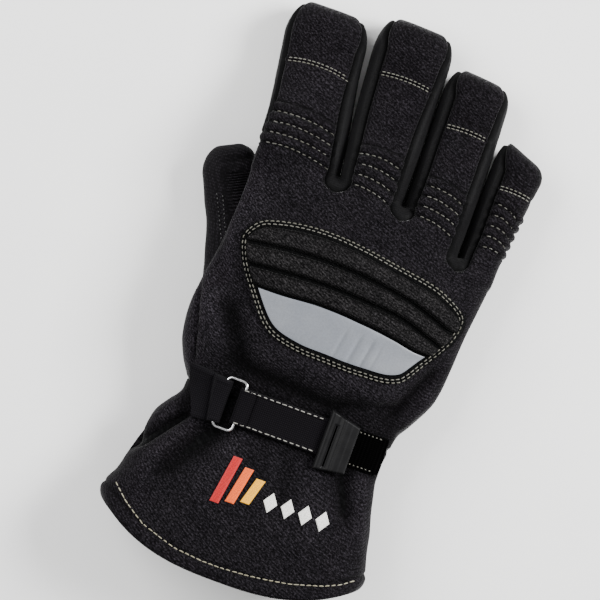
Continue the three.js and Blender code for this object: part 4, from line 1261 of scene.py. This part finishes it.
# The backing of the knuckle shield: a close black cloth laid over the knuckles and sewn down
# with two rows of stitches round its edge. It carries the pads and the film.
BACKING_LIFT = 0.4
BACKING_THICK = 1.1
BACKING_FOOT = -0.6
BACKING_LIP = 0.5
SIDE_SCALE = 38
END_SCALE = 300
OUTLINE_STEP = 0.5
OUTLINE_SMOOTHINGS = 24
SHIELD = table_of("at upper lower", [
    (-0.364, 0.092, 0.08), (-0.331, 0.116, 0.045), (-0.281, 0.127, 0.013), (-0.17, 0.138, -0.045),
    (-0.05, 0.141, -0.063), (0.074, 0.137, -0.066), (0.207, 0.128, -0.067), (0.364, 0.117, -0.056),
    (0.43, 0.106, -0.013), (0.488, 0.092, 0.03), (0.51, 0.082, 0.058),
])

# The sewn-down cloth carries everything on the back, so its heights are read again here.
cloth_names = ["back_panel_cloth", *["tip_cap_" + finger["name"] + "_cloth" for finger in FINGERS]]


def tree_over(names):
    all_points, all_faces, count = [], [], 0
    for name in names:
        mesh = bpy.data.objects[name].data
        co = np.zeros(len(mesh.vertices) * 3, np.float32)
        mesh.vertices.foreach_get("co", co)
        all_points.append(co.reshape(-1, 3) / MM)
        all_faces += [[v + count for v in face.vertices] for face in mesh.polygons]
        count += len(mesh.vertices)
    return BVHTree.FromPolygons(np.concatenate(all_points).tolist(), all_faces)


back_tree = tree_over([*cloth_names, "cuff_back_cloth"])
fine_heights = heights_of(back_tree, 1)
even_heights = heights_of(back_tree, 8)


# A slab is laid over the back: its top at the lift and its own height, and its underside at the
# foot, where one is given, or else at the lift.
def laid_slab(
    name, finish, place, height, lift, columns, rows, foot=None, heights=even_heights, shade=None
):
    u, v = np.meshgrid(np.linspace(0, 1, columns + 1), np.linspace(0, 1, rows + 1))
    x, y = place(u, v)
    top = laid(heights, x, y, lift + height(u, v))
    bottom = laid(heights, x, y, 0 * u + (lift if foot is None else foot))
    ids = np.arange(u.size).reshape(u.shape)
    quads = faces_of(ids, False).tolist()
    points, faces = between(top.reshape(-1, 3), bottom.reshape(-1, 3), quads)
    tone = None if shade is None else np.resize(shade(u, v).ravel(), len(points))
    piece = piece_from(name + "_made", points, faces, [finish], tone=tone)
    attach(piece, "root")
    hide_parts(name)
    return piece


def between_curves(start, end, lower, upper):
    def place(u, v):
        at = mix(start, end, (1 - np.cos(math.pi * u)) / 2)
        return at * PALM_WIDTH, mix(lower(at), upper(at), v) * GLOVE_LENGTH
    return place


def evenly_along(path, step):
    path = np.asarray(path, float)
    run = np.concatenate([[0], np.cumsum(np.linalg.norm(np.diff(path, axis=0), axis=1))])
    marks = np.arange(0, run[-1], step)
    return np.stack([np.interp(marks, run, path[:, k]) for k in range(2)], -1)


def shield_outline(inset):
    at = mix(SHIELD["at"][0], SHIELD["at"][-1], (1 - np.cos(np.linspace(0, math.pi, 90))) / 2)
    upper = np.stack([at * PALM_WIDTH, read(SHIELD, "upper", at) * GLOVE_LENGTH], -1)
    lower = np.stack([at * PALM_WIDTH, read(SHIELD, "lower", at) * GLOVE_LENGTH], -1)
    loop = evenly_along(np.concatenate([upper, lower[::-1], upper[:1]]), OUTLINE_STEP)
    for _ in range(OUTLINE_SMOOTHINGS):
        loop = (np.roll(loop, 1, 0) + loop * 2 + np.roll(loop, -1, 0)) / 4
    way = np.roll(loop, -2, 0) - np.roll(loop, 2, 0)
    way /= np.linalg.norm(way, axis=1)[:, None]
    loop = loop + np.stack([way[:, 1], -way[:, 0]], -1) * inset
    return np.concatenate([loop, loop[:1]])


def shield_edges(inset):
    loop = shield_outline(inset)[:-1]
    start, end = np.argmin(loop[:, 0]), np.argmax(loop[:, 0])
    loop = np.roll(loop, -start, 0)
    split = (end - start) % len(loop)
    one, other = loop[: split + 1], np.concatenate([loop[split:], loop[:1]])[::-1]
    upper, lower = (one, other) if one[:, 1].mean() > other[:, 1].mean() else (other, one)
    low, high = loop[:, 0].min() / PALM_WIDTH, loop[:, 0].max() / PALM_WIDTH
    return (
        low,
        high,
        lambda at: np.interp(at * PALM_WIDTH, lower[:, 0], lower[:, 1]) / GLOVE_LENGTH,
        lambda at: np.interp(at * PALM_WIDTH, upper[:, 0], upper[:, 1]) / GLOVE_LENGTH,
    )


backing_place = between_curves(*shield_edges(-0.5))


def backing_height(u, v):
    side = np.minimum(np.minimum(v, 1 - v) * SIDE_SCALE, np.minimum(u, 1 - u) * END_SCALE)
    return BACKING_THICK * ease(-0.3, 1.6, side) - BACKING_LIP * (1 - ease(0, 1.2, side))


backing_cloth = shell_cloth(
    "shield_backing",
    (0.0008, 0.0008, 0.0009), (0.002, 0.002, 0.0022), (0.006, 0.006, 0.006),
    twill=1.0, hair=0.5, fuzz=0.02,
)
backing = laid_slab(
    "knuckle_backing", backing_cloth, backing_place, backing_height, BACKING_LIFT,
    columns=150, rows=60, foot=BACKING_FOOT,
)

# The three pads on the backing: the felt's twill over a firm foam, each sewn down in the deep
# groove along its edge, so that it swells up between two grooves.
PAD_LIFT = BACKING_LIFT + BACKING_THICK + 0.1
PAD_PUFF = 1.9
PAD_EDGE = 0.5
SHIELD_BORDER = 2.7
GROOVE = 1.7
GROOVES = table_of("at first second third", [
    (-0.33, 0.081, 0.045, 0.016), (-0.165, 0.0895, 0.0515, 0.016), (0, 0.0925, 0.055, 0.0205),
    (0.165, 0.087, 0.052, 0.016), (0.29, 0.078, 0.0465, 0.009), (0.372, 0.068, 0.035, 0.002),
    (0.46, 0.053, 0.021, 0.002),
])
pad_cloth = shell_cloth(
    "pad_twill",
    (0.0014, 0.0013, 0.0014), (0.0072, 0.0068, 0.007), (0.033, 0.031, 0.032),
    twill=0.9, hair=0.6, fuzz=0.03,
)
half_groove = GROOVE / GLOVE_LENGTH / 2
inside_start, inside_end, inside_lower, inside_upper = shield_edges(SHIELD_BORDER)


def groove(column):
    return lambda at: read(GROOVES, column, at)


PADS = [
    ("knuckle_pad_upper", inside_upper, groove("first")),
    ("knuckle_pad_middle", groove("first"), groove("second")),
    ("knuckle_pad_lower", groove("second"), groove("third")),
]


def pad_height(u, v):
    round_it = np.sqrt(np.maximum(0, 1 - (2 * v - 1) ** 4))
    ends = np.maximum(0, np.sin(math.pi * u)) ** 0.22
    return PAD_EDGE + PAD_PUFF * round_it * ends


def pad_shade(u, v):
    return 0.15 + 0.9 * ease(0, 0.22, np.minimum(v, 1 - v))


def where_open(start, end, lower, upper, least):
    at = np.arange(start, end, 0.001)
    fits = at[upper(at) - lower(at) > least]
    return fits[0], fits[-1]


for name, upper, lower in PADS:
    def top(at, upper=upper):
        return np.minimum(inside_upper(at), upper(at) - half_groove)

    def bottom(at, lower=lower):
        return np.maximum(inside_lower(at), lower(at) + half_groove)

    start, end = where_open(inside_start, inside_end, bottom, top, half_groove)
    pad = laid_slab(
        name, pad_cloth, between_curves(start, end, bottom, top), pad_height, PAD_LIFT,
        columns=160, rows=30, shade=pad_shade,
    )

# The crescent below the pads: silver reflective film, laid on the backing and held at its lower
# edge by the rows round the shield. Its right half is slightly creased, where the hand bends.
FILM_BORDER = 3.7
FILM_THICK = 0.5
FILM_SWELL = 0.25
FILM_GAP = 0.4
CREASE_SLANT = 0.025
CREASE_SHADE = 0.4
CREASES = [
    # share across, half width as a share, depth
    (0.52, 0.009, 0.4), (0.575, 0.011, 0.55), (0.625, 0.011, 0.6), (0.665, 0.008, 0.2),
]


def film_finish():
    finish, tree, shader = new_finish(
        "reflective_film", (0.19, 0.198, 0.214), 0.45,
        Specular_IOR_Level=0.4, Coat_Weight=0.1, Coat_Roughness=0.35,
    )
    place = place_of(tree)
    beads = node(tree, "ShaderNodeTexVoronoi", {"Scale": 1 / (0.35 * MM)}, {"Vector": place})
    clouds = grain_of(tree, place, 11, 3.0)
    specks = grain_of(tree, place, 0.9, 2.0)
    tone = ramp(tree, clouds, [(0.3, (0.128, 0.138, 0.158)), (0.7, (0.146, 0.155, 0.171))])
    worn = ramp(tree, specks, [(0.35, (0.9, 0.9, 0.9)), (0.65, (1, 1, 1))])
    tree.links.new(with_painted_shading(tree, laid_over(tree, tone, worn)), shader.inputs["Base Color"])
    worn_between(tree, shader, clouds, 0.36, 0.5)
    embossed(tree, shader, beads.outputs["Distance"], 0.12, 0.05)
    return finish


# Each crease runs from the lower edge of the film and fades out above its middle.
def crease_line(u, v, where, half):
    return (u - where - CREASE_SLANT * (v - 0.45)) / half


def crease_shown(v):
    return 1 - ease(0.5, 0.9, v)


def film_height(u, v):
    round_it = np.sqrt(np.maximum(0, 1 - (2 * v - 1) ** 4))
    total = FILM_THICK + FILM_SWELL * round_it * np.sin(math.pi * u) ** 0.3
    for where, half, depth in CREASES:
        total = total - depth * np.exp(-(crease_line(u, v, where, half) ** 2)) * crease_shown(v)
    return total


# Painted shade and painted highlight: the film darkens towards its right end, and each crease is painted
# dark on one side and light on the other.
def film_shade(u, v):
    total = 1 - 0.17 * ease(0.45, 1, u)
    for where, half, depth in CREASES:
        line = crease_line(u, v, where, 0.7 * half)
        crease = np.exp(-((line - 0.7) ** 2)) - 0.9 * np.exp(-((line + 0.7) ** 2))
        total = total - CREASE_SHADE * depth * crease * crease_shown(v)
    return total


film_start, film_end, film_lower, film_upper = shield_edges(FILM_BORDER)


def film_top(at):
    return np.minimum(film_upper(at), read(GROOVES, "third", at) - FILM_GAP / GLOVE_LENGTH)


start, end = where_open(film_start, film_end, film_lower, film_top, 0.0005)
film = laid_slab(
    "reflective_strip", film_finish(), between_curves(start, end, film_lower, film_top),
    film_height, PAD_LIFT, columns=220, rows=30, shade=film_shade,
)

# The wrist adjuster's anchor: a short tab of black webbing on the thumb side, slanted and
# flared where its end is sewn down, and folded back round the wire ring.
STRAP_LIFT = 0.6
STRAP_FOOT = -0.4
WEBBING = 1.6
FOLD = 4.0
FOLD_NOSE = 2.0
FOLD_SEAM = 7.2
RING_WIDTH = 9.4
RING_X = -0.194 * PALM_WIDTH
ANCHOR_START = -0.345 * PALM_WIDTH
ANCHOR_END = RING_X - RING_WIDTH / 2 + 2.6
ANCHOR_WIDTH = 20
ANCHOR_SLANT = 8
ANCHOR_FLARE = 3.5
ANCHOR_Y = STRAP_Y - 0.3


def strap_cloth(name, dark, pale, pitch, shine=0.03):
    finish, tree, shader = new_finish(
        name, dark, 0.8, Specular_IOR_Level=shine, Sheen_Weight=shine / 3
    )
    place = place_of(tree)
    picks = node(
        tree, "ShaderNodeTexWave",
        {"Scale": WAVE / (pitch * MM), "Distortion": 1.0},
        {"Vector": place},
        bands_direction="X",
    )
    ends = node(
        tree, "ShaderNodeTexWave",
        {"Scale": WAVE / (0.9 * MM), "Distortion": 1.5},
        {"Vector": place},
        bands_direction="Y",
    )
    woven = worked_out(tree, "MULTIPLY", {0: picks.outputs["Fac"], 1: ends.outputs["Fac"]})
    hairs = grain_of(tree, place, 0.5, 4.0)
    relief = worked_out(tree, "MULTIPLY_ADD", {0: hairs, 2: woven}, {1: 0.5})
    tree.links.new(ramp(tree, relief, [(0.2, dark), (0.9, pale)]), shader.inputs["Base Color"])
    embossed(tree, shader, relief, 0.5, 0.3)
    return finish


# Where it is folded round the ring the webbing is double, with a round nose, as far as the seam
# across it. Along each side runs a woven border: a ridge, then a narrow groove.
def strap_height(start, end, fold_at_start):
    def height(u, v):
        away = (u if fold_at_start else 1 - u) * (end - start)
        edge = np.minimum(v, 1 - v) * STRAP_WIDTH
        thick = mix(FOLD, WEBBING, ease(FOLD_SEAM - 2, FOLD_SEAM + 0.4, away))
        nose = np.sqrt(np.clip(1 - (1 - away / FOLD_NOSE) ** 2, 0, 1))
        thick = thick * mix(0.45, 1.0, np.where(away < FOLD_NOSE, nose, 1))
        seam = -0.5 * np.exp(-(((away - FOLD_SEAM) / 0.7) ** 2))
        ridge, furrows = np.exp(-(((edge - 0.9) / 0.5) ** 2)), np.exp(-(((edge - 2.0) / 0.5) ** 2))
        border = 0.35 * ease(0, 0.8, edge) + 0.12 * (ridge - furrows)
        return thick + seam - 0.35 + border
    return height


def anchor_place(u, v):
    x = mix(ANCHOR_START + ANCHOR_SLANT * (0.5 - v), ANCHOR_END, u)
    return x, ANCHOR_Y + mix(ANCHOR_WIDTH + ANCHOR_FLARE, ANCHOR_WIDTH, u) * (v - 0.5)


anchor_cloth = strap_cloth(
    "anchor_webbing", (0.0022, 0.0019, 0.0025), (0.0062, 0.0056, 0.0069), pitch=0.9
)
anchor = laid_slab(
    "strap_anchor", anchor_cloth, anchor_place,
    strap_height(ANCHOR_START, ANCHOR_END, False), STRAP_LIFT,
    columns=70, rows=60, foot=STRAP_FOOT, heights=form_heights,
)

# The webbing: a narrow black tape woven with a border along each edge. One end is folded round
# the ring and sewn down on itself, and the other runs in under the slider.
WEBBING_START = RING_X + RING_WIDTH / 2 - 2.4
SLIDER_X = 0.222 * PALM_WIDTH


def strap_place(start, end):
    return lambda u, v: (mix(start, end, u), STRAP_Y + STRAP_WIDTH * (v - 0.5))


webbing_cloth = strap_cloth(
    "black_webbing", (0.0018, 0.0015, 0.002), (0.0054, 0.0047, 0.006), pitch=0.9
)
webbing = laid_slab(
    "strap_webbing", webbing_cloth, strap_place(WEBBING_START, SLIDER_X),
    strap_height(WEBBING_START, SLIDER_X, True), STRAP_LIFT,
    columns=150, rows=50, foot=STRAP_FOOT, heights=form_heights,
)

# The elastic: a dull ribbed band that pulls the cuff in. It is sewn under the slider at one end
# and into the side seam of the cuff at the other.
ELASTIC_START = SLIDER_X + 0.3
ELASTIC_END = 0.392 * PALM_WIDTH
ELASTIC_THICK = 1.3
ELASTIC_RIBS = 11
ELASTIC_RIB = 0.12


def elastic_height(u, v):
    rib = np.cos(2 * math.pi * ELASTIC_RIBS * u) * ease(0, 0.1, np.minimum(v, 1 - v))
    return ELASTIC_THICK + ELASTIC_RIB * rib


elastic_cloth = strap_cloth(
    "woven_elastic", (0.0002, 0.0002, 0.0002), (0.0009, 0.0008, 0.0009), pitch=1.6, shine=0.005
)
elastic = laid_slab(
    "strap_elastic", elastic_cloth, strap_place(ELASTIC_START, ELASTIC_END),
    elastic_height, STRAP_LIFT,
    columns=90, rows=44, foot=STRAP_FOOT, heights=form_heights,
)

# The ring: plated wire, bent and closed to a long rectangle with round corners. It lies in the
# fold of the anchor tab on one side and in the fold of the webbing on the other.
RING_LENGTH = 23
RING_CORNER = 2.4
RING_WIRE = 0.66
RING_Y = STRAP_Y - 0.4
CORNER_STEPS = 12
WIRE_SIDES = 16


def seat_on(x, y, lift):
    seat, foot = laid(form_heights, x, y, lift), laid(form_heights, x, y, 0.0)
    up = (seat - foot) / np.linalg.norm(seat - foot)
    across = np.array([1.0, 0, 0]) - up * up[0]
    across /= np.linalg.norm(across)
    return seat, across, np.cross(up, across), up


seat, across, along, up = seat_on(RING_X, RING_Y, STRAP_LIFT + FOLD / 2)
round_it = np.linspace(0, 2 * math.pi, WIRE_SIDES + 1)[:-1]
ring_rows = []
for quarter, (sign_x, sign_y) in enumerate([(1, 1), (-1, 1), (-1, -1), (1, -1)]):
    centre = np.array([
        sign_x * (RING_WIDTH / 2 - RING_CORNER),
        sign_y * (RING_LENGTH / 2 - RING_CORNER),
    ])
    for turn in np.radians(np.linspace(0, 90, CORNER_STEPS + 1) + 90 * quarter):
        outward = np.array([math.cos(turn), math.sin(turn)])
        flat = centre + outward * (RING_CORNER + RING_WIRE * np.cos(round_it))[:, None]
        high = RING_WIRE * np.sin(round_it)[:, None] * up
        ring_rows.append(seat + flat[:, :1] * across + flat[:, 1:] * along + high)
ring_rows = np.array(ring_rows)
ids = np.arange(ring_rows.shape[0] * ring_rows.shape[1]).reshape(ring_rows.shape[:2])
ids = np.concatenate([ids, ids[:1]], 0)
ids = np.concatenate([ids, ids[:, :1]], 1)
wire_finish, wire_tree, wire_shader = new_finish(
    "plated_wire", (0.5, 0.5, 0.51), 0.2, Metallic=1.0
)
wire_grain = node(wire_tree, "ShaderNodeTexNoise", {"Scale": 900.0, "Detail": 3.0})
worn_between(wire_tree, wire_shader, wire_grain.outputs["Fac"], 0.12, 0.32)
ring_faces = faces_of(ids, True).tolist()
ring = piece_from("ring_wire_bent", ring_rows.reshape(-1, 3), ring_faces, [wire_finish])
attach(ring, "root")
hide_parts("ring_wire")

# The slider: dark grey plastic, moulded in one piece with a raised bar on the thumb side, a long
# slot that the webbing is threaded through, and a broad flap with two shallow steps.
SLIDER_Y = STRAP_Y - 1.2
SLIDER_HALF = 7.4
SLIDER_TOP = (14.4, 10.6)
SLIDER_FOOT = (-13.6, -11.6)
SLIDER_LIFT = STRAP_LIFT + WEBBING + 0.3
SLIDER_PLATE = 2.0
SLIDER_SIDE = 0.5
SLIDER_EDGE = 1.1
SLIDER_BARS = [
    # from the middle, half width, height
    (-5.6, 1.3, 0.6), (-0.9, 1.2, 1.0),
]
SLIDER_STEPS = [
    # starts at, ends at, height
    (-1.6, 0.2, 0.5), (3.4, 4.0, -0.3),
]
SLOT_X = -3.1
SLOT_Y = -1.6
SLOT_HALF = 0.4
SLOT_LENGTH = 9.6
SLOT_LIP = 0.5

columns_x = np.unique(np.round(np.concatenate([
    np.linspace(-SLIDER_HALF, SLIDER_HALF, 61),
    [SLOT_X - SLOT_HALF, SLOT_X + SLOT_HALF],
]), 3))
u, v = np.meshgrid(columns_x, np.linspace(0, 1, 101))
share = (u + SLIDER_HALF) / (2 * SLIDER_HALF)
foot_y = mix(SLIDER_FOOT[0], SLIDER_FOOT[1], share)
top_y = mix(SLIDER_TOP[0], SLIDER_TOP[1], share)
w = mix(foot_y, top_y, v)
rim = np.minimum(np.minimum(u + SLIDER_HALF, SLIDER_HALF - u), np.minimum(w - foot_y, top_y - w))
rounded = np.sqrt(np.clip(1 - (1 - np.clip(rim / SLIDER_EDGE, 0, 1)) ** 2, 0, 1))
profile = SLIDER_PLATE + 0 * u
for middle, half, tall in SLIDER_BARS:
    profile = profile + tall * np.exp(-(((u - middle) / half) ** 2))
for step_start, step_end, tall in SLIDER_STEPS:
    profile = profile + tall * ease(step_start, step_end, u)
slot_side = np.maximum(np.abs(u - SLOT_X) - SLOT_HALF, np.abs(w - SLOT_Y) - SLOT_LENGTH)
profile = profile - SLOT_LIP * (1 - ease(0, 0.9, slot_side))

seat, across, along, up = seat_on(SLIDER_X, SLIDER_Y, SLIDER_LIFT)
flat = seat + u[..., None] * across + w[..., None] * along
top = flat + (SLIDER_SIDE + (profile - SLIDER_SIDE) * rounded)[..., None] * up
ids = np.arange(u.size).reshape(u.shape)
quads = faces_of(ids, False)
centre_x, centre_y = u.ravel()[quads].mean(1), w.ravel()[quads].mean(1)
in_slot = (np.abs(centre_x - SLOT_X) < SLOT_HALF) & (np.abs(centre_y - SLOT_Y) < SLOT_LENGTH)
points, faces = between(top.reshape(-1, 3), flat.reshape(-1, 3), quads[~in_slot].tolist())

plastic, plastic_tree, plastic_shader = new_finish(
    "moulded_grey_plastic", (0.008, 0.008, 0.0084), 0.5, Specular_IOR_Level=0.115
)
plastic_place = place_of(plastic_tree)
plastic_grain = grain_of(plastic_tree, plastic_place, 0.5, 3.0)
plastic_cloud = grain_of(plastic_tree, plastic_place, 6, 3.0)
plastic_tone = ramp(
    plastic_tree, plastic_cloud,
    [(0.3, (0.0026, 0.0025, 0.0028)), (0.7, (0.0042, 0.0041, 0.0045))],
)
plastic_tree.links.new(plastic_tone, plastic_shader.inputs["Base Color"])
worn_between(plastic_tree, plastic_shader, plastic_cloud, 0.42, 0.6)
embossed(plastic_tree, plastic_shader, plastic_grain, 0.25, 0.06)
slider = piece_from("strap_slider_moulded", points, faces, [plastic])
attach(slider, "root")
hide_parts("strap_slider")

# The motif's bars: three slanted bars in red, orange and amber, machine embroidered on the cuff
# in satin stitch. The threads lie side by side across each bar and swell up along its middle.
THREAD_LIFT = 0.15
THREAD_FOOT = -0.6
THREAD_THICK = 0.75
THREAD_PITCH = 0.55
BAR_SLANT = 3.5
BARS = [
    # node, thread, colour, x, y, width, height
    ("motif_bar_red", "thread_red", (0.42, 0.001, 0.002), -14, -81.5, 4.2, 22),
    ("motif_bar_orange", "thread_orange", (0.75, 0.1, 0.001), -7.5, -82, 4.2, 17),
    ("motif_bar_amber", "thread_amber", (0.85, 0.42, 0.004), -1, -82.5, 4.2, 12),
]


def thread_finish(name, colour):
    finish, tree, shader = new_finish(
        name, colour, 0.5, Specular_IOR_Level=0.35, Sheen_Weight=0.2
    )
    strands = grain_of(tree, place_of(tree), 0.4, 3.0)
    deep = tuple(0.62 * part for part in colour)
    tone = ramp(tree, strands, [(0.35, deep), (0.65, colour)])
    tree.links.new(tone, shader.inputs["Base Color"])
    embossed(tree, shader, strands, 0.4, 0.12)
    return finish


def satin(threads):
    def height(u, v):
        rope = 0.72 + 0.28 * np.abs(np.sin(math.pi * v * threads)) ** 0.6
        sides = np.sqrt(np.clip(1 - (2 * u - 1) ** 4, 0, 1))
        edge = sides * np.sqrt(np.clip(1 - (2 * v - 1) ** 20, 0, 1))
        return THREAD_THICK * rope * mix(0.25, 1, edge)
    return height


for name, slot, colour, x, y, width, tall in BARS:
    def bar_place(u, v, x=x, y=y, width=width, tall=tall):
        return x + width * (u - 0.5) + BAR_SLANT * (v - 0.5), y + tall * (v - 0.5)

    threads = int(tall / THREAD_PITCH)
    bar = laid_slab(
        name, thread_finish(slot, colour), bar_place, satin(threads), THREAD_LIFT,
        columns=12, rows=threads * 6, foot=THREAD_FOOT, heights=fine_heights,
    )

# The motif's lozenges: four small white diamonds in the same satin stitch, in a row beside the
# bars on the cuff.
LOZENGE = {"count": 4, "x": 8, "pitch": 8.2, "y": -84.5, "half_width": 3.2, "half_height": 4.6}
LOZENGE_THREADS = 9
white_thread = thread_finish("thread_white", (0.8, 0.79, 0.75))
for k in range(LOZENGE["count"]):
    x = LOZENGE["x"] + k * LOZENGE["pitch"]

    def lozenge_place(u, v, x=x):
        across = x + LOZENGE["half_width"] * (u + v - 1)
        return across, LOZENGE["y"] + LOZENGE["half_height"] * (v - u)

    lozenge = laid_slab(
        f"motif_lozenge_{k + 1}", white_thread, lozenge_place, satin(LOZENGE_THREADS), THREAD_LIFT,
        columns=12, rows=LOZENGE_THREADS * 6, foot=THREAD_FOOT, heights=fine_heights,
    )

# The stitches round the shield: two rows of dull off-white thread, sewn through the backing
# into the back of the hand. All the stitches that show are laid on the finished cloth.
STITCH_WIDTH = 0.5
STITCH_HEIGHT = 0.34
STITCH_SIDES = 6
STITCH_FORM = table_of("at fat lift", [
    (0, 0.25, -0.5), (0.08, 0.75, 0.1), (0.3, 1, 0.45),
    (0.7, 1, 0.45), (0.92, 0.75, 0.1), (1, 0.25, -0.5),
])
SEWING_STEP = 0.05
SHORTEST = 0.3
LONGEST = 1.8
SWAY = 0.08
UNDER_ALL = -50
OFF_TABLE = 0.02
seam_thread = thread_finish("seam_thread", (0.105, 0.101, 0.08))
shield_tree = tree_over(["back_panel_cloth", "knuckle_backing_made"])


def landed(tree, x, y, below):
    start = Vector((x, y, UNDER_ALL if below else MAP_ABOVE))
    place, normal = tree.ray_cast(start, Vector((0, 0, 1 if below else -1)))[:2]
    return (np.array(place), np.array(normal)) if place else (None, None)


def stitch_mesh(a, b, normal, width, height):
    run = b - a
    way = run / np.linalg.norm(run)
    normal = normal - way * (normal @ way)
    normal /= np.linalg.norm(normal)
    side = np.cross(normal, way)
    round_it = np.linspace(0, 2 * math.pi, STITCH_SIDES + 1)[:-1]
    rings = []
    for at, fat, lift in zip(STITCH_FORM["at"], STITCH_FORM["fat"], STITCH_FORM["lift"]):
        centre = a + run * at + normal * (lift * height)
        ring = centre + side * (np.cos(round_it) * fat * width / 2)[:, None]
        rings.append(ring + normal * (np.sin(round_it) * fat * height)[:, None])
    return np.concatenate(rings)


stitch_rings = len(STITCH_FORM["at"])
stitch_ids = np.arange(stitch_rings * STITCH_SIDES).reshape(stitch_rings, STITCH_SIDES)
stitch_faces = faces_of(np.concatenate([stitch_ids, stitch_ids[:, :1]], 1), True).tolist()
stitch_faces += [stitch_ids[0].tolist(), stitch_ids[-1][::-1].tolist()]


def sew(name, tree, paths, long, gap, width=STITCH_WIDTH, below=False, thread=seam_thread):
    points, faces = [], []
    drawn = np.random.default_rng(len(name))
    for path in paths:
        fine = evenly_along(path, SEWING_STEP)
        position = 0.3
        while (position + long) / SEWING_STEP < len(fine):
            here = long * drawn.uniform(0.85, 1.08)
            first = fine[int(position / SEWING_STEP)]
            last = fine[min(int((position + here) / SEWING_STEP), len(fine) - 1)]
            sway = drawn.uniform(-SWAY, SWAY, 2)
            position += long + gap
            a, normal = landed(tree, *(first + sway), below)
            b, other = landed(tree, *(last - sway), below)
            if a is None or b is None:
                continue
            if not SHORTEST <= np.linalg.norm(b - a) <= LONGEST * long:
                continue
            count = sum(map(len, points))
            points.append(stitch_mesh(a, b, normal + other, width, STITCH_HEIGHT))
            faces += [[v + count for v in face] for face in stitch_faces]
    points = np.concatenate(points)
    points[:, 2] = np.maximum(points[:, 2], OFF_TABLE)
    piece = piece_from(name, points, faces, [thread])
    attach(piece, "root")
    return piece


sew("shield_stitches", shield_tree, [shield_outline(0.3), shield_outline(1.6)], long=1.8, gap=0.7)

# The stitches over the ribs: four or five rows of dimmer thread across each finger, sewn
# through the felt and its padding and pulled tight.
dim_thread = thread_finish("dim_thread", (0.065, 0.062, 0.05))
rib_rows = []
for k in range(4):
    row = {name: RIBS[name][k] for name in RIBS}
    for i in range(int(row["rows"])):
        share = i / (row["rows"] - 1)
        t = np.linspace(0, 1, 20)
        left = mix(row["top_left"], row["foot_left"], share)
        right = mix(row["top_right"], row["foot_right"], share)
        across = mix(row["left"], row["right"], t)
        rib_rows.append(np.stack([across, mix(left, right, t) + ROW_ARC * (1 - (2 * t - 1) ** 2)], -1))
sew("rib_stitches", back_tree, rib_rows, long=1.9, gap=0.95, thread=dim_thread)

# The stitches over the caps: two close rows of the shield's thread on each finger, one on
# either side of the bowed seam that joins the cap to the back.
CAP_ROW = 0.75
CAP_ENDS = [(-54.5, -21), (-11, 14), (20.5, 46), (54.5, 72)]
cap_rows = []
for k, (left, right) in enumerate(CAP_ENDS):
    across = np.linspace(left, right, 30)
    level = FINGERS[k]["cap"] * GLOVE_LENGTH + 0 * across
    for step in (CAP_ROW, -CAP_ROW):
        cap_rows.append(np.stack([across, level + step + cap_bow(k, across, level)], -1))
sew("cap_stitches", back_tree, cap_rows, long=1.6, gap=0.5)

# The stitches along the strap: a row of paler thread along each edge of the webbing, and a row
# of short ones along each edge of the elastic.
EDGE_ROWS = [STRAP_Y + side * (STRAP_WIDTH / 2 - 1.0) for side in (-1, 1)]
pale_thread = thread_finish("pale_thread", (0.23, 0.225, 0.2))
strap_tree = tree_over(["strap_anchor_made", "strap_webbing_made", "strap_elastic_made"])
webbing_rows = [[(WEBBING_START + 1.2, y), (SLIDER_X - 7.2, y)] for y in EDGE_ROWS]
elastic_rows = [[(SLIDER_X + 7.8, y), (ELASTIC_END - 0.5, y)] for y in EDGE_ROWS]
sew("webbing_stitches", strap_tree, webbing_rows, long=2.2, gap=0.75, thread=pale_thread)
sew("elastic_stitches", strap_tree, elastic_rows, long=0.8, gap=1.1)

# The hem's stitches: one row of yellowish thread that follows the edge of the cuff and holds
# the turned-in felt.
HEM_ROW = [
    (-60.1, -99.4), (-52.5, -105.8), (-41.9, -112.5), (-25.5, -117.4), (-12, -118.6), (-3.7, -118.7),
    (10.3, -117.9), (28.5, -115.1), (42, -111.4), (49.9, -108.2), (55.5, -104.6),
]
hem_thread = thread_finish("hem_thread", (0.26, 0.24, 0.165))
sew("hem_stitches", back_tree, [HEM_ROW], long=2.3, gap=0.5, thread=hem_thread)

# The stitches under the hand: dark thread in rows that quilt the finger pads and fan out over
# the heel of the hand, and the hem's row where it comes through below.
PAD_MARGIN = 7
palm_tree = tree_over(["palm_panel_cloth", "cuff_palm_cloth"])
palm_rows = [[tuple(start), tuple(end)] for start, end in fan_lines()]
for finger in FINGERS:
    for y in quilt_rows(finger)[:-1]:
        at = y / GLOVE_LENGTH
        left = read(finger["sides"], "left", at) * PALM_WIDTH + PAD_MARGIN
        right = read(finger["sides"], "right", at) * PALM_WIDTH - PAD_MARGIN
        palm_rows.append([(left, y), (right, y)])
dark_thread = thread_finish("dark_thread", (0.05, 0.05, 0.05))
sew("palm_stitches", palm_tree, palm_rows, long=2.0, gap=0.95, below=True, thread=dark_thread)
sew("hem_stitches_below", palm_tree, [HEM_ROW[1:-1]], long=2.2, gap=0.8, width=0.7, below=True)

# The thumb's stitches: two short rows of the same dark thread, which close the tube of knit
# along its outer side.
thumb_tree = tree_over(["thumb_sleeve_cloth"])
THUMB_STITCHES = [
    [(-62.2, 37.5), (-56.6, 26), (-52.6, 17.4)],
    [(-59.3, 37.5), (-54.6, 27), (-51.8, 21)],
]
sew("thumb_stitches", thumb_tree, THUMB_STITCHES, long=0.8, gap=1.2, width=0.45, thread=dark_thread)
